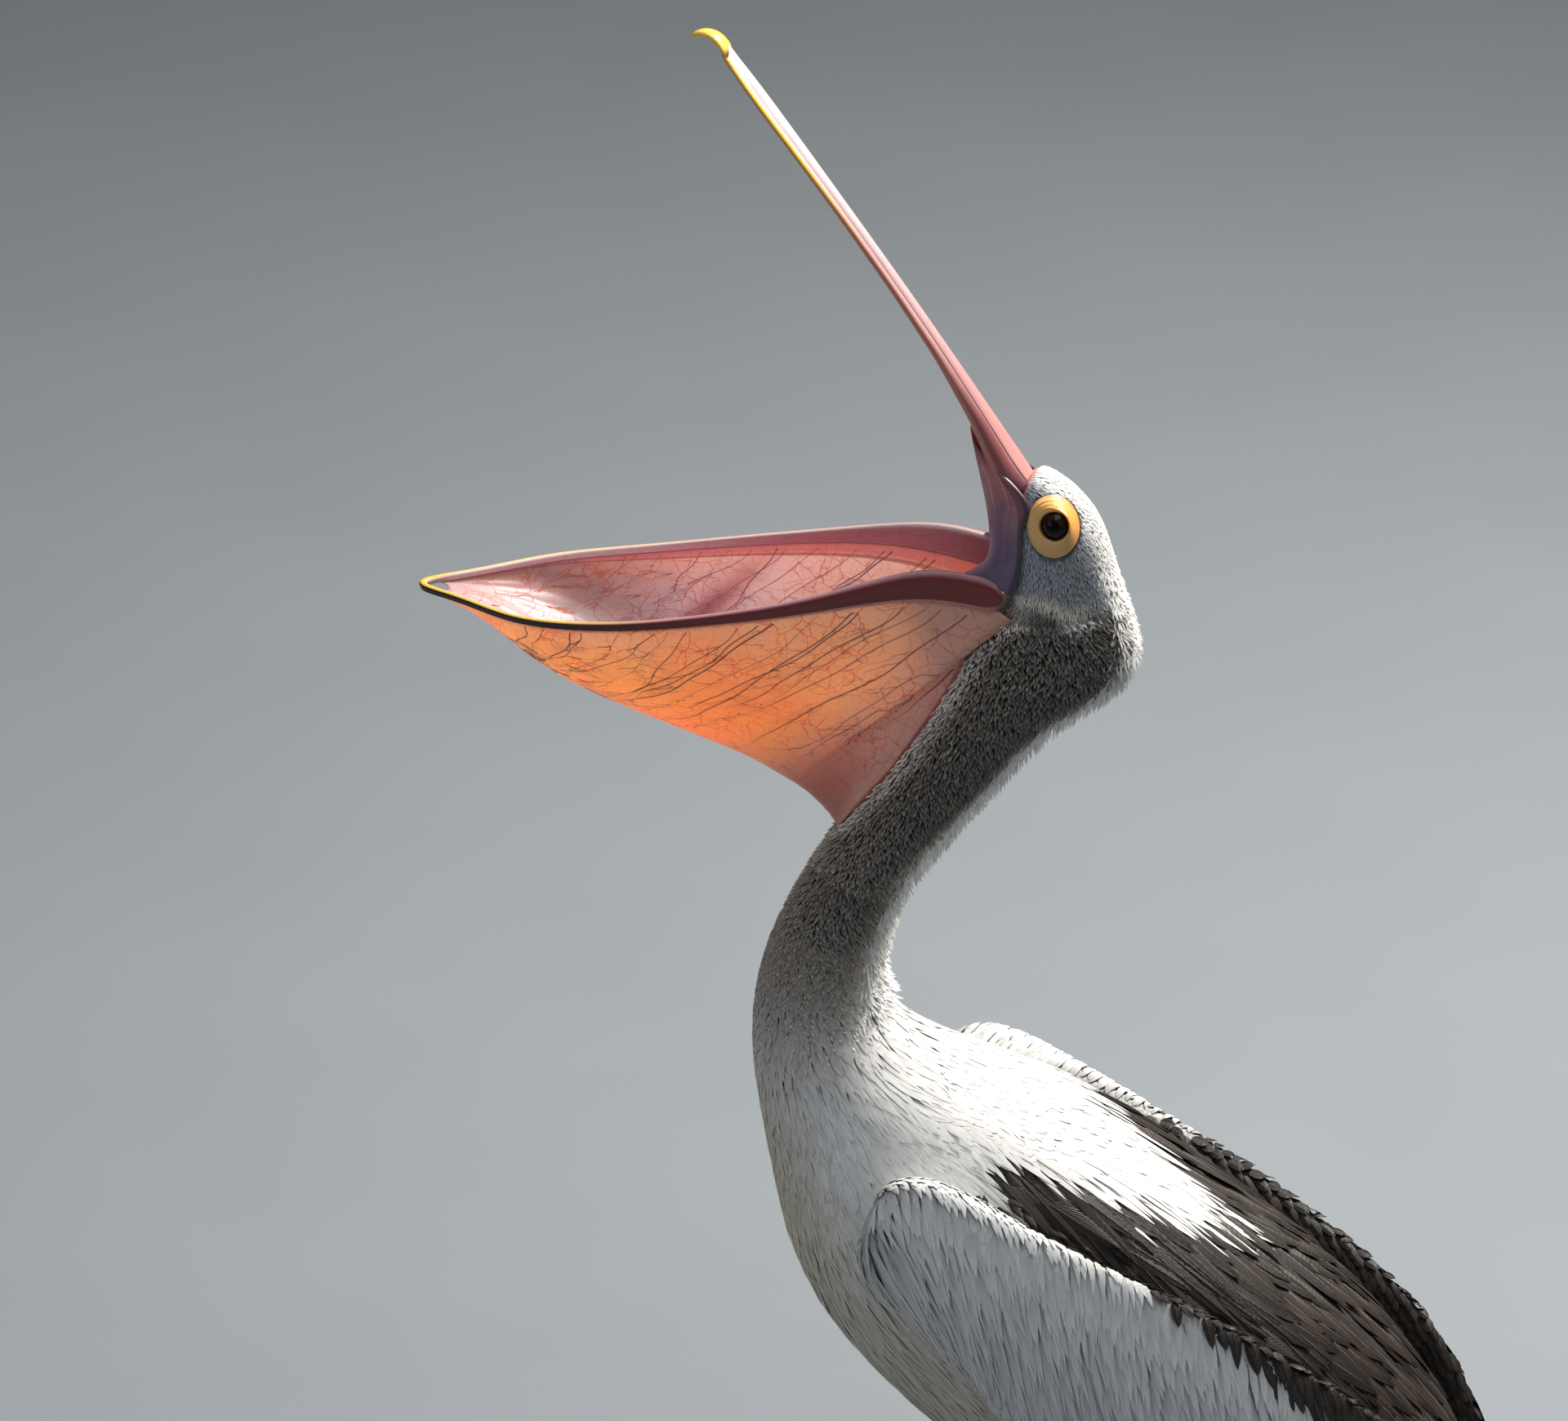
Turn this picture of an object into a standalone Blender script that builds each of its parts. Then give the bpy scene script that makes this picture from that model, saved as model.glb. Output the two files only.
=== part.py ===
"""An Australian pelican standing with its bill wide open, as a life-size still model.

Metres, +Z up. The bird faces -Y, its left side is +X, and it is the same on both sides.
Heights and places are drawn around the throat, and SET_DOWN moves everything onto the floor.
"""
import math

import bmesh
import bpy
import numpy as np
from mathutils import Matrix, Vector

# ---------------------------------------------------------------- driving sizes
SET_DOWN = np.array([0.0, -0.160, 0.825])   # from the throat's own frame to the floor's
GAP = 0.0004                                # clearance between pieces that touch
SEGMENTS = 24                               # sides of the body's rings
POUCH_WALL = 0.0016
EYE_RADIUS = 0.0115
ORBIT_RADII = (0.0046, 0.0208, 0.0243)      # bare ring round the eye: thick, long, high
FOOT_PAD_HEIGHT = 0.016
FOOT_AT = (0.066, 0.282)                    # middle of the left foot's pad, before SET_DOWN
LEFT_RIGHT = (("left", 1.0), ("right", -1.0))

# One row for each station of head, neck and trunk, from the bill's base to the tail:
# back y and z, front y and z, half width, squareness of the front half and of the back half.
STATIONS = {
    "bill_base": (0.187, 0.221, 0.183, 0.194, 0.0200, 3.0, 2.2),
    "forehead": (0.204, 0.220, 0.178, 0.174, 0.0260, 3.2, 2.2),
    "crown": (0.237, 0.190, 0.176, 0.138, 0.0325, 3.4, 2.1),
    "nape": (0.258, 0.131, 0.167, 0.114, 0.0345, 3.0, 2.0),
    "crest": (0.264, 0.067, 0.140, 0.086, 0.0375, 2.6, 2.0),
    "neck_1": (0.215, 0.020, 0.127, 0.056, 0.0390, 2.2, 2.0),
    "neck_2": (0.167, -0.037, 0.094, -0.004, 0.0380, 2.0, 2.0),
    "neck_3": (0.120, -0.101, 0.052, -0.074, 0.0365, 2.0, 2.0),
    "neck_4": (0.086, -0.162, 0.011, -0.148, 0.0380, 2.0, 2.0),
    "neck_5": (0.077, -0.218, -0.018, -0.224, 0.0430, 2.0, 2.0),
    "neck_6": (0.096, -0.256, -0.023, -0.300, 0.0530, 2.0, 2.0),
    "collar": (0.146, -0.282, -0.010, -0.375, 0.0740, 2.1, 2.2),
    "shoulder": (0.222, -0.312, 0.016, -0.470, 0.0960, 2.2, 2.6),
    "breast": (0.300, -0.360, 0.084, -0.562, 0.1090, 2.2, 2.8),
    "belly": (0.400, -0.428, 0.210, -0.654, 0.1090, 2.2, 3.0),
    "flank": (0.470, -0.486, 0.335, -0.690, 0.0960, 2.2, 2.8),
    "rump": (0.520, -0.545, 0.425, -0.676, 0.0760, 2.2, 2.6),
    "tail_root": (0.548, -0.596, 0.480, -0.660, 0.0520, 2.2, 2.4),
}
NAMES = list(STATIONS)

# Folded wing's upper ridge and lower edge, from the wrist to the tip of the primaries:
# x, y, z of the ridge, x, y, z of the lower edge, half thickness, outward bulge.
WING_STATIONS = [
    (0.114, 0.097, -0.360, 0.114, 0.088, -0.382, 0.007, 0.000),
    (0.122, 0.112, -0.333, 0.122, 0.100, -0.420, 0.012, 0.003),
    (0.124, 0.150, -0.325, 0.126, 0.148, -0.458, 0.014, 0.005),
    (0.124, 0.207, -0.347, 0.128, 0.208, -0.522, 0.014, 0.006),
    (0.119, 0.275, -0.378, 0.122, 0.278, -0.585, 0.013, 0.007),
    (0.110, 0.364, -0.420, 0.112, 0.362, -0.634, 0.011, 0.007),
    (0.096, 0.455, -0.476, 0.096, 0.442, -0.664, 0.008, 0.006),
    (0.080, 0.520, -0.533, 0.078, 0.512, -0.682, 0.006, 0.004),
    (0.066, 0.558, -0.606, 0.062, 0.555, -0.692, 0.004, 0.002),
    (0.054, 0.576, -0.668, 0.053, 0.572, -0.696, 0.002, 0.000),
]
WING_INNER = 2.6                            # inner half of the wing, against the outer half

# Upper edge of the lower jaw's left bar, from the cheek to the tip: x, y, z, depth, thickness.
RAMUS = [
    (0.0335, 0.174, 0.144, 0.0250, 0.0080),
    (0.0400, 0.122, 0.151, 0.0250, 0.0085),
    (0.0540, 0.072, 0.141, 0.0180, 0.0075),
    (0.0660, 0.020, 0.1255, 0.0120, 0.0065),
    (0.0715, -0.034, 0.112, 0.0090, 0.0060),
    (0.0725, -0.088, 0.100, 0.0075, 0.0055),
    (0.0685, -0.140, 0.0907, 0.0065, 0.0052),
    (0.0570, -0.190, 0.0845, 0.0060, 0.0050),
    (0.0355, -0.230, 0.0810, 0.0058, 0.0050),
    (0.0175, -0.261, 0.0785, 0.0058, 0.0052),
]
JAW_TIP = (0.0, -0.284, 0.0768, 0.0062, 0.0060)

# Lowest line of the pouch, from the bill's tip to where it joins the foreneck: y, z.
KEEL = [(-0.264, 0.071), (-0.216, 0.052), (-0.168, 0.020), (-0.122, -0.002), (-0.077, -0.020),
        (-0.037, -0.036), (-0.007, -0.051), (0.017, -0.065), (0.034, -0.080), (0.044, -0.093)]

# ---------------------------------------------------------------- curves and lofts
def spline(rows, at):
    """Natural cubic spline through equally spaced rows, read at the places given."""
    rows = np.asarray(rows, float)
    count = len(rows)
    system = np.eye(count)
    right = np.zeros_like(rows)
    for i in range(1, count - 1):
        system[i, i - 1:i + 2] = (1.0, 4.0, 1.0)
        right[i] = 6.0 * (rows[i - 1] - 2.0 * rows[i] + rows[i + 1])
    bend = np.linalg.solve(system, right)
    at = np.atleast_1d(np.asarray(at, float))
    low = np.clip(at.astype(int), 0, count - 2)
    f = (at - low)[:, None]
    g = 1.0 - f
    return (g * rows[low] + f * rows[low + 1]
            + ((g ** 3 - g) * bend[low] + (f ** 3 - f) * bend[low + 1]) / 6.0)


def signed_power(value, power):
    return np.sign(value) * np.abs(value) ** power


def body_point(at, angle, grow=0.0):
    """Point of the flesh: a squared ellipse across the back-to-front line of a station.

    The angle is 0 on the front line, 90 degrees on the bird's left, 180 on its back.
    """
    row = spline(list(STATIONS.values()), at)
    back, front = row[:, 0:2], row[:, 2:4]
    middle = (back + front) / 2.0
    half = (front - back) / 2.0
    depth = np.linalg.norm(half, axis=1, keepdims=True)
    half = half * (1.0 + grow / depth)
    width = row[:, 4] + grow
    cosine, sine = np.cos(angle), np.sin(angle)
    power = np.where(cosine > 0.0, 2.0 / row[:, 5], 2.0 / row[:, 6])
    along = signed_power(cosine, power)
    x = width * signed_power(sine, power)
    flat = middle + half * along[:, None]
    return np.column_stack([x, flat])


def body_rings(start, end, steps, grow=0.0):
    """Rings of the flesh from one station to another."""
    angles = np.linspace(0.0, 2.0 * math.pi, SEGMENTS, endpoint=False)
    rings = []
    for at in np.linspace(start, end, steps):
        rings.append(body_point(np.full(SEGMENTS, at), angles, grow))
    return np.array(rings)


def room_rings(parts, rings_of):
    """Rings of several nodes in one row, grown by the gap, to cut their room out of others."""
    rings = np.concatenate([rings_of(first, last, steps, GAP) for first, last, steps in parts])
    for end, inner in ((0, 1), (-1, -2)):
        way = rings[end].mean(axis=0) - rings[inner].mean(axis=0)
        rings[end] += way / np.linalg.norm(way) * GAP
    return rings


def wing_rings(start, end, steps, grow=0.0, sides=16):
    """Rings of the folded left wing: a bulged slab from its ridge to its lower edge."""
    angles = np.linspace(0.0, 2.0 * math.pi, sides, endpoint=False)
    rings = []
    for at in np.linspace(start, end, steps):
        row = spline(WING_STATIONS, at)[0]
        ridge, edge = row[0:3], row[3:6]
        middle, half = (ridge + edge) / 2.0, (ridge - edge) / 2.0
        length = np.linalg.norm(half)
        up = half / length
        out = np.cross(np.array([0.0, 1.0, 0.0]), up)
        out = out / np.linalg.norm(out)
        high = np.cos(angles)[:, None] * up * (length + grow)
        outward = np.sin(angles)[:, None]
        thick = np.where(outward > 0.0, row[6] + row[7], row[6] * WING_INNER)
        bulge = outward * (thick + grow)
        rings.append(middle + high + bulge * out)
    return np.array(rings)


def mesh_object(name, verts, faces):
    """Object from points and faces, moved onto the floor's frame, with faces pointing out."""
    verts = np.asarray(verts, float) + SET_DOWN
    mesh = bpy.data.meshes.new(name)
    mesh.from_pydata([tuple(v) for v in verts], [], faces)
    work = bmesh.new()
    work.from_mesh(mesh)
    bmesh.ops.remove_doubles(work, verts=work.verts, dist=0.00001)
    bmesh.ops.recalc_face_normals(work, faces=work.faces)
    work.to_mesh(mesh)
    work.free()
    mesh.shade_smooth()
    obj = bpy.data.objects.new(name, mesh)
    MODEL.objects.link(obj)
    return obj


def loft(name, rings):
    """Closed body through rings of points, with a flat face on each end."""
    rings = np.asarray(rings)
    count, sides = rings.shape[0], rings.shape[1]
    faces = []
    for i in range(count - 1):
        for j in range(sides):
            a, b = i * sides + j, i * sides + (j + 1) % sides
            faces += [(a, b, b + sides), (a, b + sides, a + sides)]
    faces.append(tuple(range(sides)))
    faces.append(tuple(range((count - 1) * sides, count * sides)))
    return mesh_object(name, rings.reshape(-1, 3), faces)


def finish(obj, colour, roughness):
    """Give a piece its own material."""
    material = bpy.data.materials.new(obj.name)
    material.use_nodes = True
    shader = material.node_tree.nodes["Principled BSDF"]
    shader.inputs["Base Color"].default_value = (*colour, 1.0)
    shader.inputs["Roughness"].default_value = roughness
    shader.inputs["Metallic"].default_value = 0.0
    obj.data.materials.clear()
    obj.data.materials.append(material)
    return obj


def as_cutter(obj):
    obj.hide_render = True
    obj.display_type = "WIRE"
    for holder in list(obj.users_collection):
        holder.objects.unlink(obj)
    CUTTERS.objects.link(obj)
    return obj


def cut(obj, *cutters):
    for cutter in cutters:
        modifier = obj.modifiers.new("cut_" + cutter.name, "BOOLEAN")
        modifier.operation = "DIFFERENCE"
        modifier.solver = "EXACT"
        modifier.object = cutter


def ellipsoid(name, centre, radii, turn, segments=18, rings=8):
    """Ellipsoid with its own axes turned by a matrix."""
    mesh = bpy.data.meshes.new(name)
    work = bmesh.new()
    bmesh.ops.create_uvsphere(work, u_segments=segments, v_segments=rings, radius=1.0)
    shape = Matrix.Diagonal((*radii, 1.0))
    pole_out = Matrix.Rotation(math.pi / 2.0, 4, "Y")
    place = Matrix.Translation(Vector(np.asarray(centre) + SET_DOWN))
    bmesh.ops.transform(work, matrix=place @ turn @ shape @ pole_out, verts=work.verts)
    work.to_mesh(mesh)
    work.free()
    mesh.shade_smooth()
    obj = bpy.data.objects.new(name, mesh)
    MODEL.objects.link(obj)
    return obj


# ---------------------------------------------------------------- colours
WHITE = (0.82, 0.81, 0.78)
GREY = (0.16, 0.15, 0.14)
BLACK = (0.035, 0.030, 0.028)
PINK = (0.62, 0.30, 0.28)
MAROON = (0.30, 0.10, 0.10)
ORANGE = (0.85, 0.30, 0.15)
PURPLE = (0.24, 0.16, 0.24)
YELLOW = (0.85, 0.50, 0.10)
CREAM = (0.85, 0.60, 0.25)
SLATE = (0.20, 0.22, 0.27)


# ---------------------------------------------------------------- head, neck and trunk
TAIL_START = 16.2
FLESH_NODES = [
    ("head", 0.0, 4.6, 12, GREY),
    ("neck_upper", 4.6, 6.6, 4, GREY),
    ("neck_middle", 6.6, 8.3, 4, GREY),
    ("neck_lower", 8.3, 10.3, 5, WHITE),
    ("breast", 10.3, 12.5, 6, WHITE),
    ("trunk", 12.5, TAIL_START, 8, WHITE),
]
PARTING = 0.008                             # share of a station left open between nodes
WHOLE = len(NAMES) - 1


def parted(start, end, steps, whole_end):
    """First and last station of a node, short of its neighbours by half the parting."""
    first = start + PARTING if start > 0.0 else start
    last = end - PARTING if end < whole_end else end
    return first, last, steps


def build_flesh():
    pieces = {}
    for name, start, end, steps, colour in FLESH_NODES:
        rings = body_rings(*parted(start, end, steps, WHOLE))
        pieces[name] = finish(loft(name, rings), colour, 0.8)
    return pieces


def flesh_room(name, first, last):
    """Room of the flesh nodes from one number in the list to another."""
    nodes = FLESH_NODES[first:last]
    parts = [parted(start, end, steps, WHOLE) for _, start, end, steps, _ in nodes]
    return as_cutter(loft(name, room_rings(parts, body_rings)))


TAIL_DROP = math.radians(44.0)
TAIL_ROOT = np.array([0.0, 0.512, -0.626])
TAIL_LENGTH = 0.128
TAIL_WIDTH = 0.078                          # half width that the fan would reach
TAIL_ROOT_WIDTH = 0.60                      # share of that width at the root
TAIL_ROUND_FROM = 0.62                      # share of the length where the end starts to round
TAIL_DEPTH = 0.026
TAIL_EDGE = 0.0025                          # half thickness at the feathers' tips
TAIL_SHARES = (0.25, 0.5, 0.72, 0.9, 1.0)


def build_tail():
    """Rump and short fan of the tail: the flesh's last rings run on into a flat fan."""
    rings = list(body_rings(TAIL_START + PARTING, WHOLE, 3))
    angles = np.linspace(0.0, 2.0 * math.pi, SEGMENTS, endpoint=False)
    way = np.array([0.0, math.cos(TAIL_DROP), -math.sin(TAIL_DROP)])
    across = np.array([0.0, -way[2], way[1]])
    for f in TAIL_SHARES:
        fan = TAIL_ROOT_WIDTH + (1.0 - TAIL_ROOT_WIDTH) * f
        rounding = math.sqrt(1.0 - max(0.0, f - TAIL_ROUND_FROM) ** 2 / 0.20)
        width = TAIL_WIDTH * fan * rounding
        depth = TAIL_DEPTH * (1.0 - f) ** 1.2 + TAIL_EDGE
        middle = TAIL_ROOT + way * TAIL_LENGTH * f
        flat = middle + np.cos(angles)[:, None] * -across * depth
        rings.append(flat + np.sin(angles)[:, None] * np.array([width, 0.0, 0.0]))
    return finish(loft("tail", rings), BLACK, 0.7)


# ---------------------------------------------------------------- wings
WING_END = len(WING_STATIONS) - 1
WING_NODES = [
    ("wing_arm", 0.0, 3.4, 7),
    ("wing_secondaries", 3.4, 6.4, 5),
    ("wing_primaries", 6.4, WING_END, 5),
]


def build_wings(side, sign):
    """The three nodes of one wing; gives the room that they need in the trunk."""
    for name, start, end, steps in WING_NODES:
        rings = wing_rings(*parted(start, end, steps, WING_END))
        rings[..., 0] *= sign
        colour = WHITE if name == "wing_arm" else BLACK
        finish(loft(name + "_" + side, rings), colour, 0.7)
    parts = [parted(start, end, steps, WING_END) for _, start, end, steps in WING_NODES]
    grown = room_rings(parts, wing_rings)
    grown[..., 0] *= sign
    return as_cutter(loft("wing_room_" + side, grown))


# ---------------------------------------------------------------- bill
BILL_BASE = np.array([0.0, 0.187, 0.223])   # culmen, where the forehead's feathers begin
BILL_END = np.array([0.0, -0.034, 0.524])   # culmen, where the nail begins
BILL_INTO_HEAD = 0.10                       # share of the bill that starts inside the head
BILL_STEPS = 12
# Shape along the upper bill: share of its length, half width, depth.
BILL_SHAPE = [(-0.10, 0.0200, 0.030), (0.02, 0.0200, 0.025), (0.14, 0.0150, 0.0140),
              (0.30, 0.0115, 0.0085), (0.46, 0.0104, 0.0070), (0.62, 0.0104, 0.0064),
              (0.78, 0.0115, 0.0060), (0.90, 0.0124, 0.0058), (1.00, 0.0112, 0.0056)]
CULMEN_BOW = 0.003
CULMEN_RIDGE = 0.0020
CULMEN_RIDGE_WIDTH = 0.005


def bill_ring(share, grow=0.0, sides=12):
    """Ring of the upper bill: flat below, low roof above with a ridge along the middle."""
    shares = [row[0] for row in BILL_SHAPE]
    width = np.interp(share, shares, [row[1] for row in BILL_SHAPE]) + grow
    depth = np.interp(share, shares, [row[2] for row in BILL_SHAPE])
    way = BILL_END - BILL_BASE
    axis = way / np.linalg.norm(way)
    dorsal = np.cross(axis, np.array([1.0, 0.0, 0.0]))
    bow = CULMEN_BOW * math.sin(math.pi * min(max(share, 0.0), 1.0))
    culmen = BILL_BASE + way * share + dorsal * bow
    angles = np.linspace(0.0, 2.0 * math.pi, sides, endpoint=False) + math.pi / sides
    x = width * signed_power(np.cos(angles), 0.8)
    top = np.sin(angles) > 0.0
    ridge = CULMEN_RIDGE * np.exp(-(x / CULMEN_RIDGE_WIDTH) ** 2)
    roof = (depth / 2.0 + grow) * np.abs(np.sin(angles)) + ridge
    floor = -(depth / 2.0 + grow) * np.abs(np.sin(angles)) ** 0.6
    lift = np.where(top, roof, floor) - depth / 2.0 - CULMEN_RIDGE
    return culmen + x[:, None] * np.array([1.0, 0.0, 0.0]) + lift[:, None] * dorsal


def bill_rings(start, end, steps, grow=0.0):
    return np.array([bill_ring(share, grow) for share in np.linspace(start, end, steps)])


# The nail hooks down over the tip: y, z, half width, half depth.
NAIL = [(-0.0375, 0.5235, 0.0110, 0.0036), (-0.0440, 0.5300, 0.0098, 0.0040),
        (-0.0530, 0.5380, 0.0074, 0.0038), (-0.0625, 0.5400, 0.0050, 0.0030),
        (-0.0700, 0.5365, 0.0026, 0.0020), (-0.0730, 0.5320, 0.0008, 0.0008)]


def build_upper_bill():
    """The bill from inside the head to the nail, and the nail; gives the first."""
    bill = finish(loft("bill_upper", bill_rings(-BILL_INTO_HEAD, 1.0, BILL_STEPS)), PINK, 0.35)
    rings = []
    angles = np.linspace(0.0, 2.0 * math.pi, 8, endpoint=False)
    for at in np.linspace(0.0, len(NAIL) - 1, 8):
        row = spline(NAIL, at)[0]
        ahead = spline(NAIL, min(at + 0.1, len(NAIL) - 1))[0]
        behind = spline(NAIL, max(at - 0.1, 0.0))[0]
        way = (ahead - behind)[0:2]
        way = way / np.linalg.norm(way)
        across = np.array([0.0, way[1], -way[0]])
        middle = np.array([0.0, row[0], row[1]])
        rings.append(middle + np.cos(angles)[:, None] * np.array([row[2], 0.0, 0.0])
                     + np.sin(angles)[:, None] * across * row[3])
    finish(loft("bill_nail", rings), YELLOW, 0.35)
    return bill


# ---------------------------------------------------------------- lower jaw and pouch
HOOP = RAMUS + [JAW_TIP] + [(-x, y, z, depth, thick) for x, y, z, depth, thick in RAMUS[::-1]]
HOOP_MIDDLE = len(RAMUS)
TIP_SHARE = 1.35                            # stations either side of the middle in the tip piece


def jaw_rings(start, end, steps, grow=0.0, sides=8):
    """Rings of the lower jaw's hoop: upright bars with rounded edges."""
    angles = np.linspace(0.0, 2.0 * math.pi, sides, endpoint=False)
    rings = []
    for at in np.linspace(start, end, steps):
        row = spline(HOOP, at)[0]
        ahead = spline(HOOP, min(at + 0.05, len(HOOP) - 1))[0]
        behind = spline(HOOP, max(at - 0.05, 0.0))[0]
        way = (ahead - behind)[0:3]
        across = np.cross(way, np.array([0.0, 0.0, 1.0]))
        across = across / np.linalg.norm(across)
        middle = row[0:3] - np.array([0.0, 0.0, row[3] / 2.0])
        side = signed_power(np.cos(angles), 0.8) * (row[4] / 2.0 + grow)
        high = signed_power(np.sin(angles), 0.8) * (row[3] / 2.0 + grow)
        rings.append(middle + side[:, None] * across + high[:, None] * np.array([0.0, 0.0, 1.0]))
    return np.array(rings)


def jaw_parts():
    """First station, last station and steps of the left bar, the tip and the right bar."""
    near_tip, past_tip = HOOP_MIDDLE - TIP_SHARE, HOOP_MIDDLE + TIP_SHARE
    return [(0.0, near_tip - PARTING, 12), (near_tip + PARTING, past_tip - PARTING, 9),
            (past_tip + PARTING, len(HOOP) - 1.0, 12)]


def build_jaw():
    for name, part, colour in zip(("jaw_left", "jaw_tip", "jaw_right"), jaw_parts(),
                                  (MAROON, YELLOW, MAROON)):
        finish(loft(name, jaw_rings(*part)), colour, 0.35)


POUCH_ON_JAW = 0.70                         # share of the pouch's edge that hangs on the jaw
POUCH_BORDER_START = 3.10                   # stations of the neck where the edge runs down it
POUCH_BORDER_END = 7.22
POUCH_BORDER_ANGLE = math.radians(62.0)
POUCH_END = 0.985                           # the last of the skin lies flat on the foreneck
POUCH_BELLY = 0.07                          # how far the walls swell past the jaw
POUCH_GRID = (15, 22)                       # points across and along


def pouch_edge(share):
    """Upper edge of the pouch on the left: under the jaw, then down the side of the neck."""
    if share < POUCH_ON_JAW:
        at = (1.0 - share / POUCH_ON_JAW) * (HOOP_MIDDLE - 0.55)
        row = spline(HOOP, at)[0]
        return np.array([row[0], row[1], row[2] - row[3] - POUCH_WALL / 2.0 - GAP])
    down = (share - POUCH_ON_JAW) / (1.0 - POUCH_ON_JAW)
    at = POUCH_BORDER_START + (POUCH_BORDER_END - POUCH_BORDER_START) * down
    angle = POUCH_BORDER_ANGLE * (1.0 - down) ** 0.35
    return body_point([at], np.array([angle]), POUCH_WALL)[0]


def build_pouch(neck_room):
    """Skin bag between the jaw's bars, an open sheet that is given its wall."""
    across, along = POUCH_GRID
    turn = np.linspace(-math.pi / 2.0, math.pi / 2.0, across)
    rows = []
    for share in np.linspace(0.0, POUCH_END, along):
        edge = pouch_edge(share)
        low = spline(KEEL, share * (len(KEEL) - 1))[0]
        down = np.cos(turn)
        x = edge[0] * np.sin(turn) * (1.0 + POUCH_BELLY * np.sin(2.0 * np.abs(turn)))
        y = edge[1] + (low[0] - edge[1]) * down
        z = edge[2] + (low[1] - edge[2]) * down
        rows.append(np.column_stack([x, y, z]))
    points = np.array(rows).reshape(-1, 3)
    faces = []
    for i in range(along - 1):
        for j in range(across - 1):
            first = i * across + j
            faces.append((first, first + 1, first + across + 1, first + across))
    pouch = mesh_object("pouch", points, faces)
    wall = pouch.modifiers.new("wall", "SOLIDIFY")
    wall.thickness = POUCH_WALL
    wall.offset = 0.0
    cut(pouch, neck_room)
    return finish(pouch, ORANGE, 0.45)


# ---------------------------------------------------------------- corners of the mouth
# Skin at the corner of the mouth: back x, y, z (along the face) and front x, y, z (free edge).
GAPE = [
    (0.0220, 0.186, 0.214, 0.0165, 0.156, 0.234),
    (0.0265, 0.181, 0.204, 0.0215, 0.155, 0.217),
    (0.0295, 0.178, 0.188, 0.0260, 0.160, 0.196),
    (0.0315, 0.177, 0.171, 0.0295, 0.164, 0.179),
    (0.0325, 0.177, 0.158, 0.0310, 0.162, 0.163),
    (0.0330, 0.176, 0.149, 0.0325, 0.154, 0.152),
]
GAPE_HALF_THICK = 0.0022
GAPE_INTO_HEAD = np.array([0.0, 0.006, 0.0])


def build_gape(side, sign, rooms):
    angles = np.linspace(0.0, 2.0 * math.pi, 8, endpoint=False)
    rings = []
    for at in np.linspace(0.0, len(GAPE) - 1, 7):
        row = spline(GAPE, at)[0]
        back, front = row[0:3] + GAPE_INTO_HEAD, row[3:6]
        middle, half = (back + front) / 2.0, (front - back) / 2.0
        thick = signed_power(np.sin(angles), 0.7) * GAPE_HALF_THICK
        flat = middle + np.cos(angles)[:, None] * half
        rings.append(flat + thick[:, None] * np.array([1.0, 0.0, 0.0]))
    rings = np.array(rings)
    rings[..., 0] *= sign
    piece = finish(loft("gape_" + side, rings), PURPLE, 0.4)
    cut(piece, *rooms)
    return piece


# ---------------------------------------------------------------- eyes
EYE_AT = np.array([0.0290, 0.2110, 0.1920])
EYE_TILT = math.radians(12.0)               # the side of the head leans in towards the crown
EYE_FORWARD = math.radians(6.0)
EYE_SUNK = 0.0040                           # the ball's middle, in from the bare ring's
EYE_OFF_MIDDLE = np.array([0.0, 0.0012, 0.0008])


def build_eye(side, sign):
    """Bare ring and eyeball of one side, each set in a hollow of the piece round it."""
    centre = EYE_AT * np.array([sign, 1.0, 1.0])
    turn = Matrix.Rotation(-EYE_TILT * sign, 4, "Y") @ Matrix.Rotation(-EYE_FORWARD * sign, 4, "Z")
    ring = ellipsoid("orbital_ring_" + side, centre, ORBIT_RADII, turn)
    ring_room = ellipsoid("orbit_room_" + side, centre, [r + GAP for r in ORBIT_RADII], turn)
    outward = np.array(turn @ Vector((sign, 0.0, 0.0)))[0:3]
    ball = centre - outward * EYE_SUNK + EYE_OFF_MIDDLE
    eye = ellipsoid("eye_" + side, ball, [EYE_RADIUS] * 3, turn, 16, 8)
    eye_room = ellipsoid("eye_room_" + side, ball, [EYE_RADIUS + GAP] * 3, turn, 16, 8)
    as_cutter(ring_room)
    as_cutter(eye_room)
    cut(ring, eye_room)
    finish(ring, CREAM, 0.5)
    finish(eye, BLACK, 0.05)
    return ring_room, eye_room


# ---------------------------------------------------------------- legs and feet
HOCK = np.array([0.064, 0.322, -0.700])
# Toes of the left foot: heading from straight ahead, positive outward, and length.
TOES = [(-78.0, 0.052), (-24.0, 0.092), (6.0, 0.118), (33.0, 0.110)]
SOLE = -SET_DOWN[2]
HEEL_RADIUS = 0.013
WEB_THICK = 0.0022
TOE_HIGH = 0.0085
TOE_WIDTH = 0.0058
TOE_TAPER = 0.45
PAD_RADIUS = 0.019
PAD_SLOPE = 0.0035
FOOT_HEADINGS, FOOT_STEPS = 30, 4
SCALLOP = 0.20                              # how far the webs draw in between the toes
SCALLOP_WIDTH = 13.0                        # degrees from a toe to the full depth of a scallop
OUTER_TOE_SIDES = (16.0, 13.0)              # degrees from the outer toes to the bare heel
CLAW_LENGTH = 0.011
CLAW_RADII = (0.0026, 0.0005)               # what the root adds, and the point
CLAW_LIFT, CLAW_HOOK = 0.0032, 0.0018


def tube(name, path, radii, sides=12):
    """Round limb along a path, with level ends."""
    angles = np.linspace(0.0, 2.0 * math.pi, sides, endpoint=False)
    flat = np.column_stack([np.cos(angles), np.sin(angles), np.zeros(sides)])
    rings = [np.asarray(p) + flat * np.array([r[0], r[1], 0.0]) for p, r in zip(path, radii)]
    return loft(name, rings)


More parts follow.
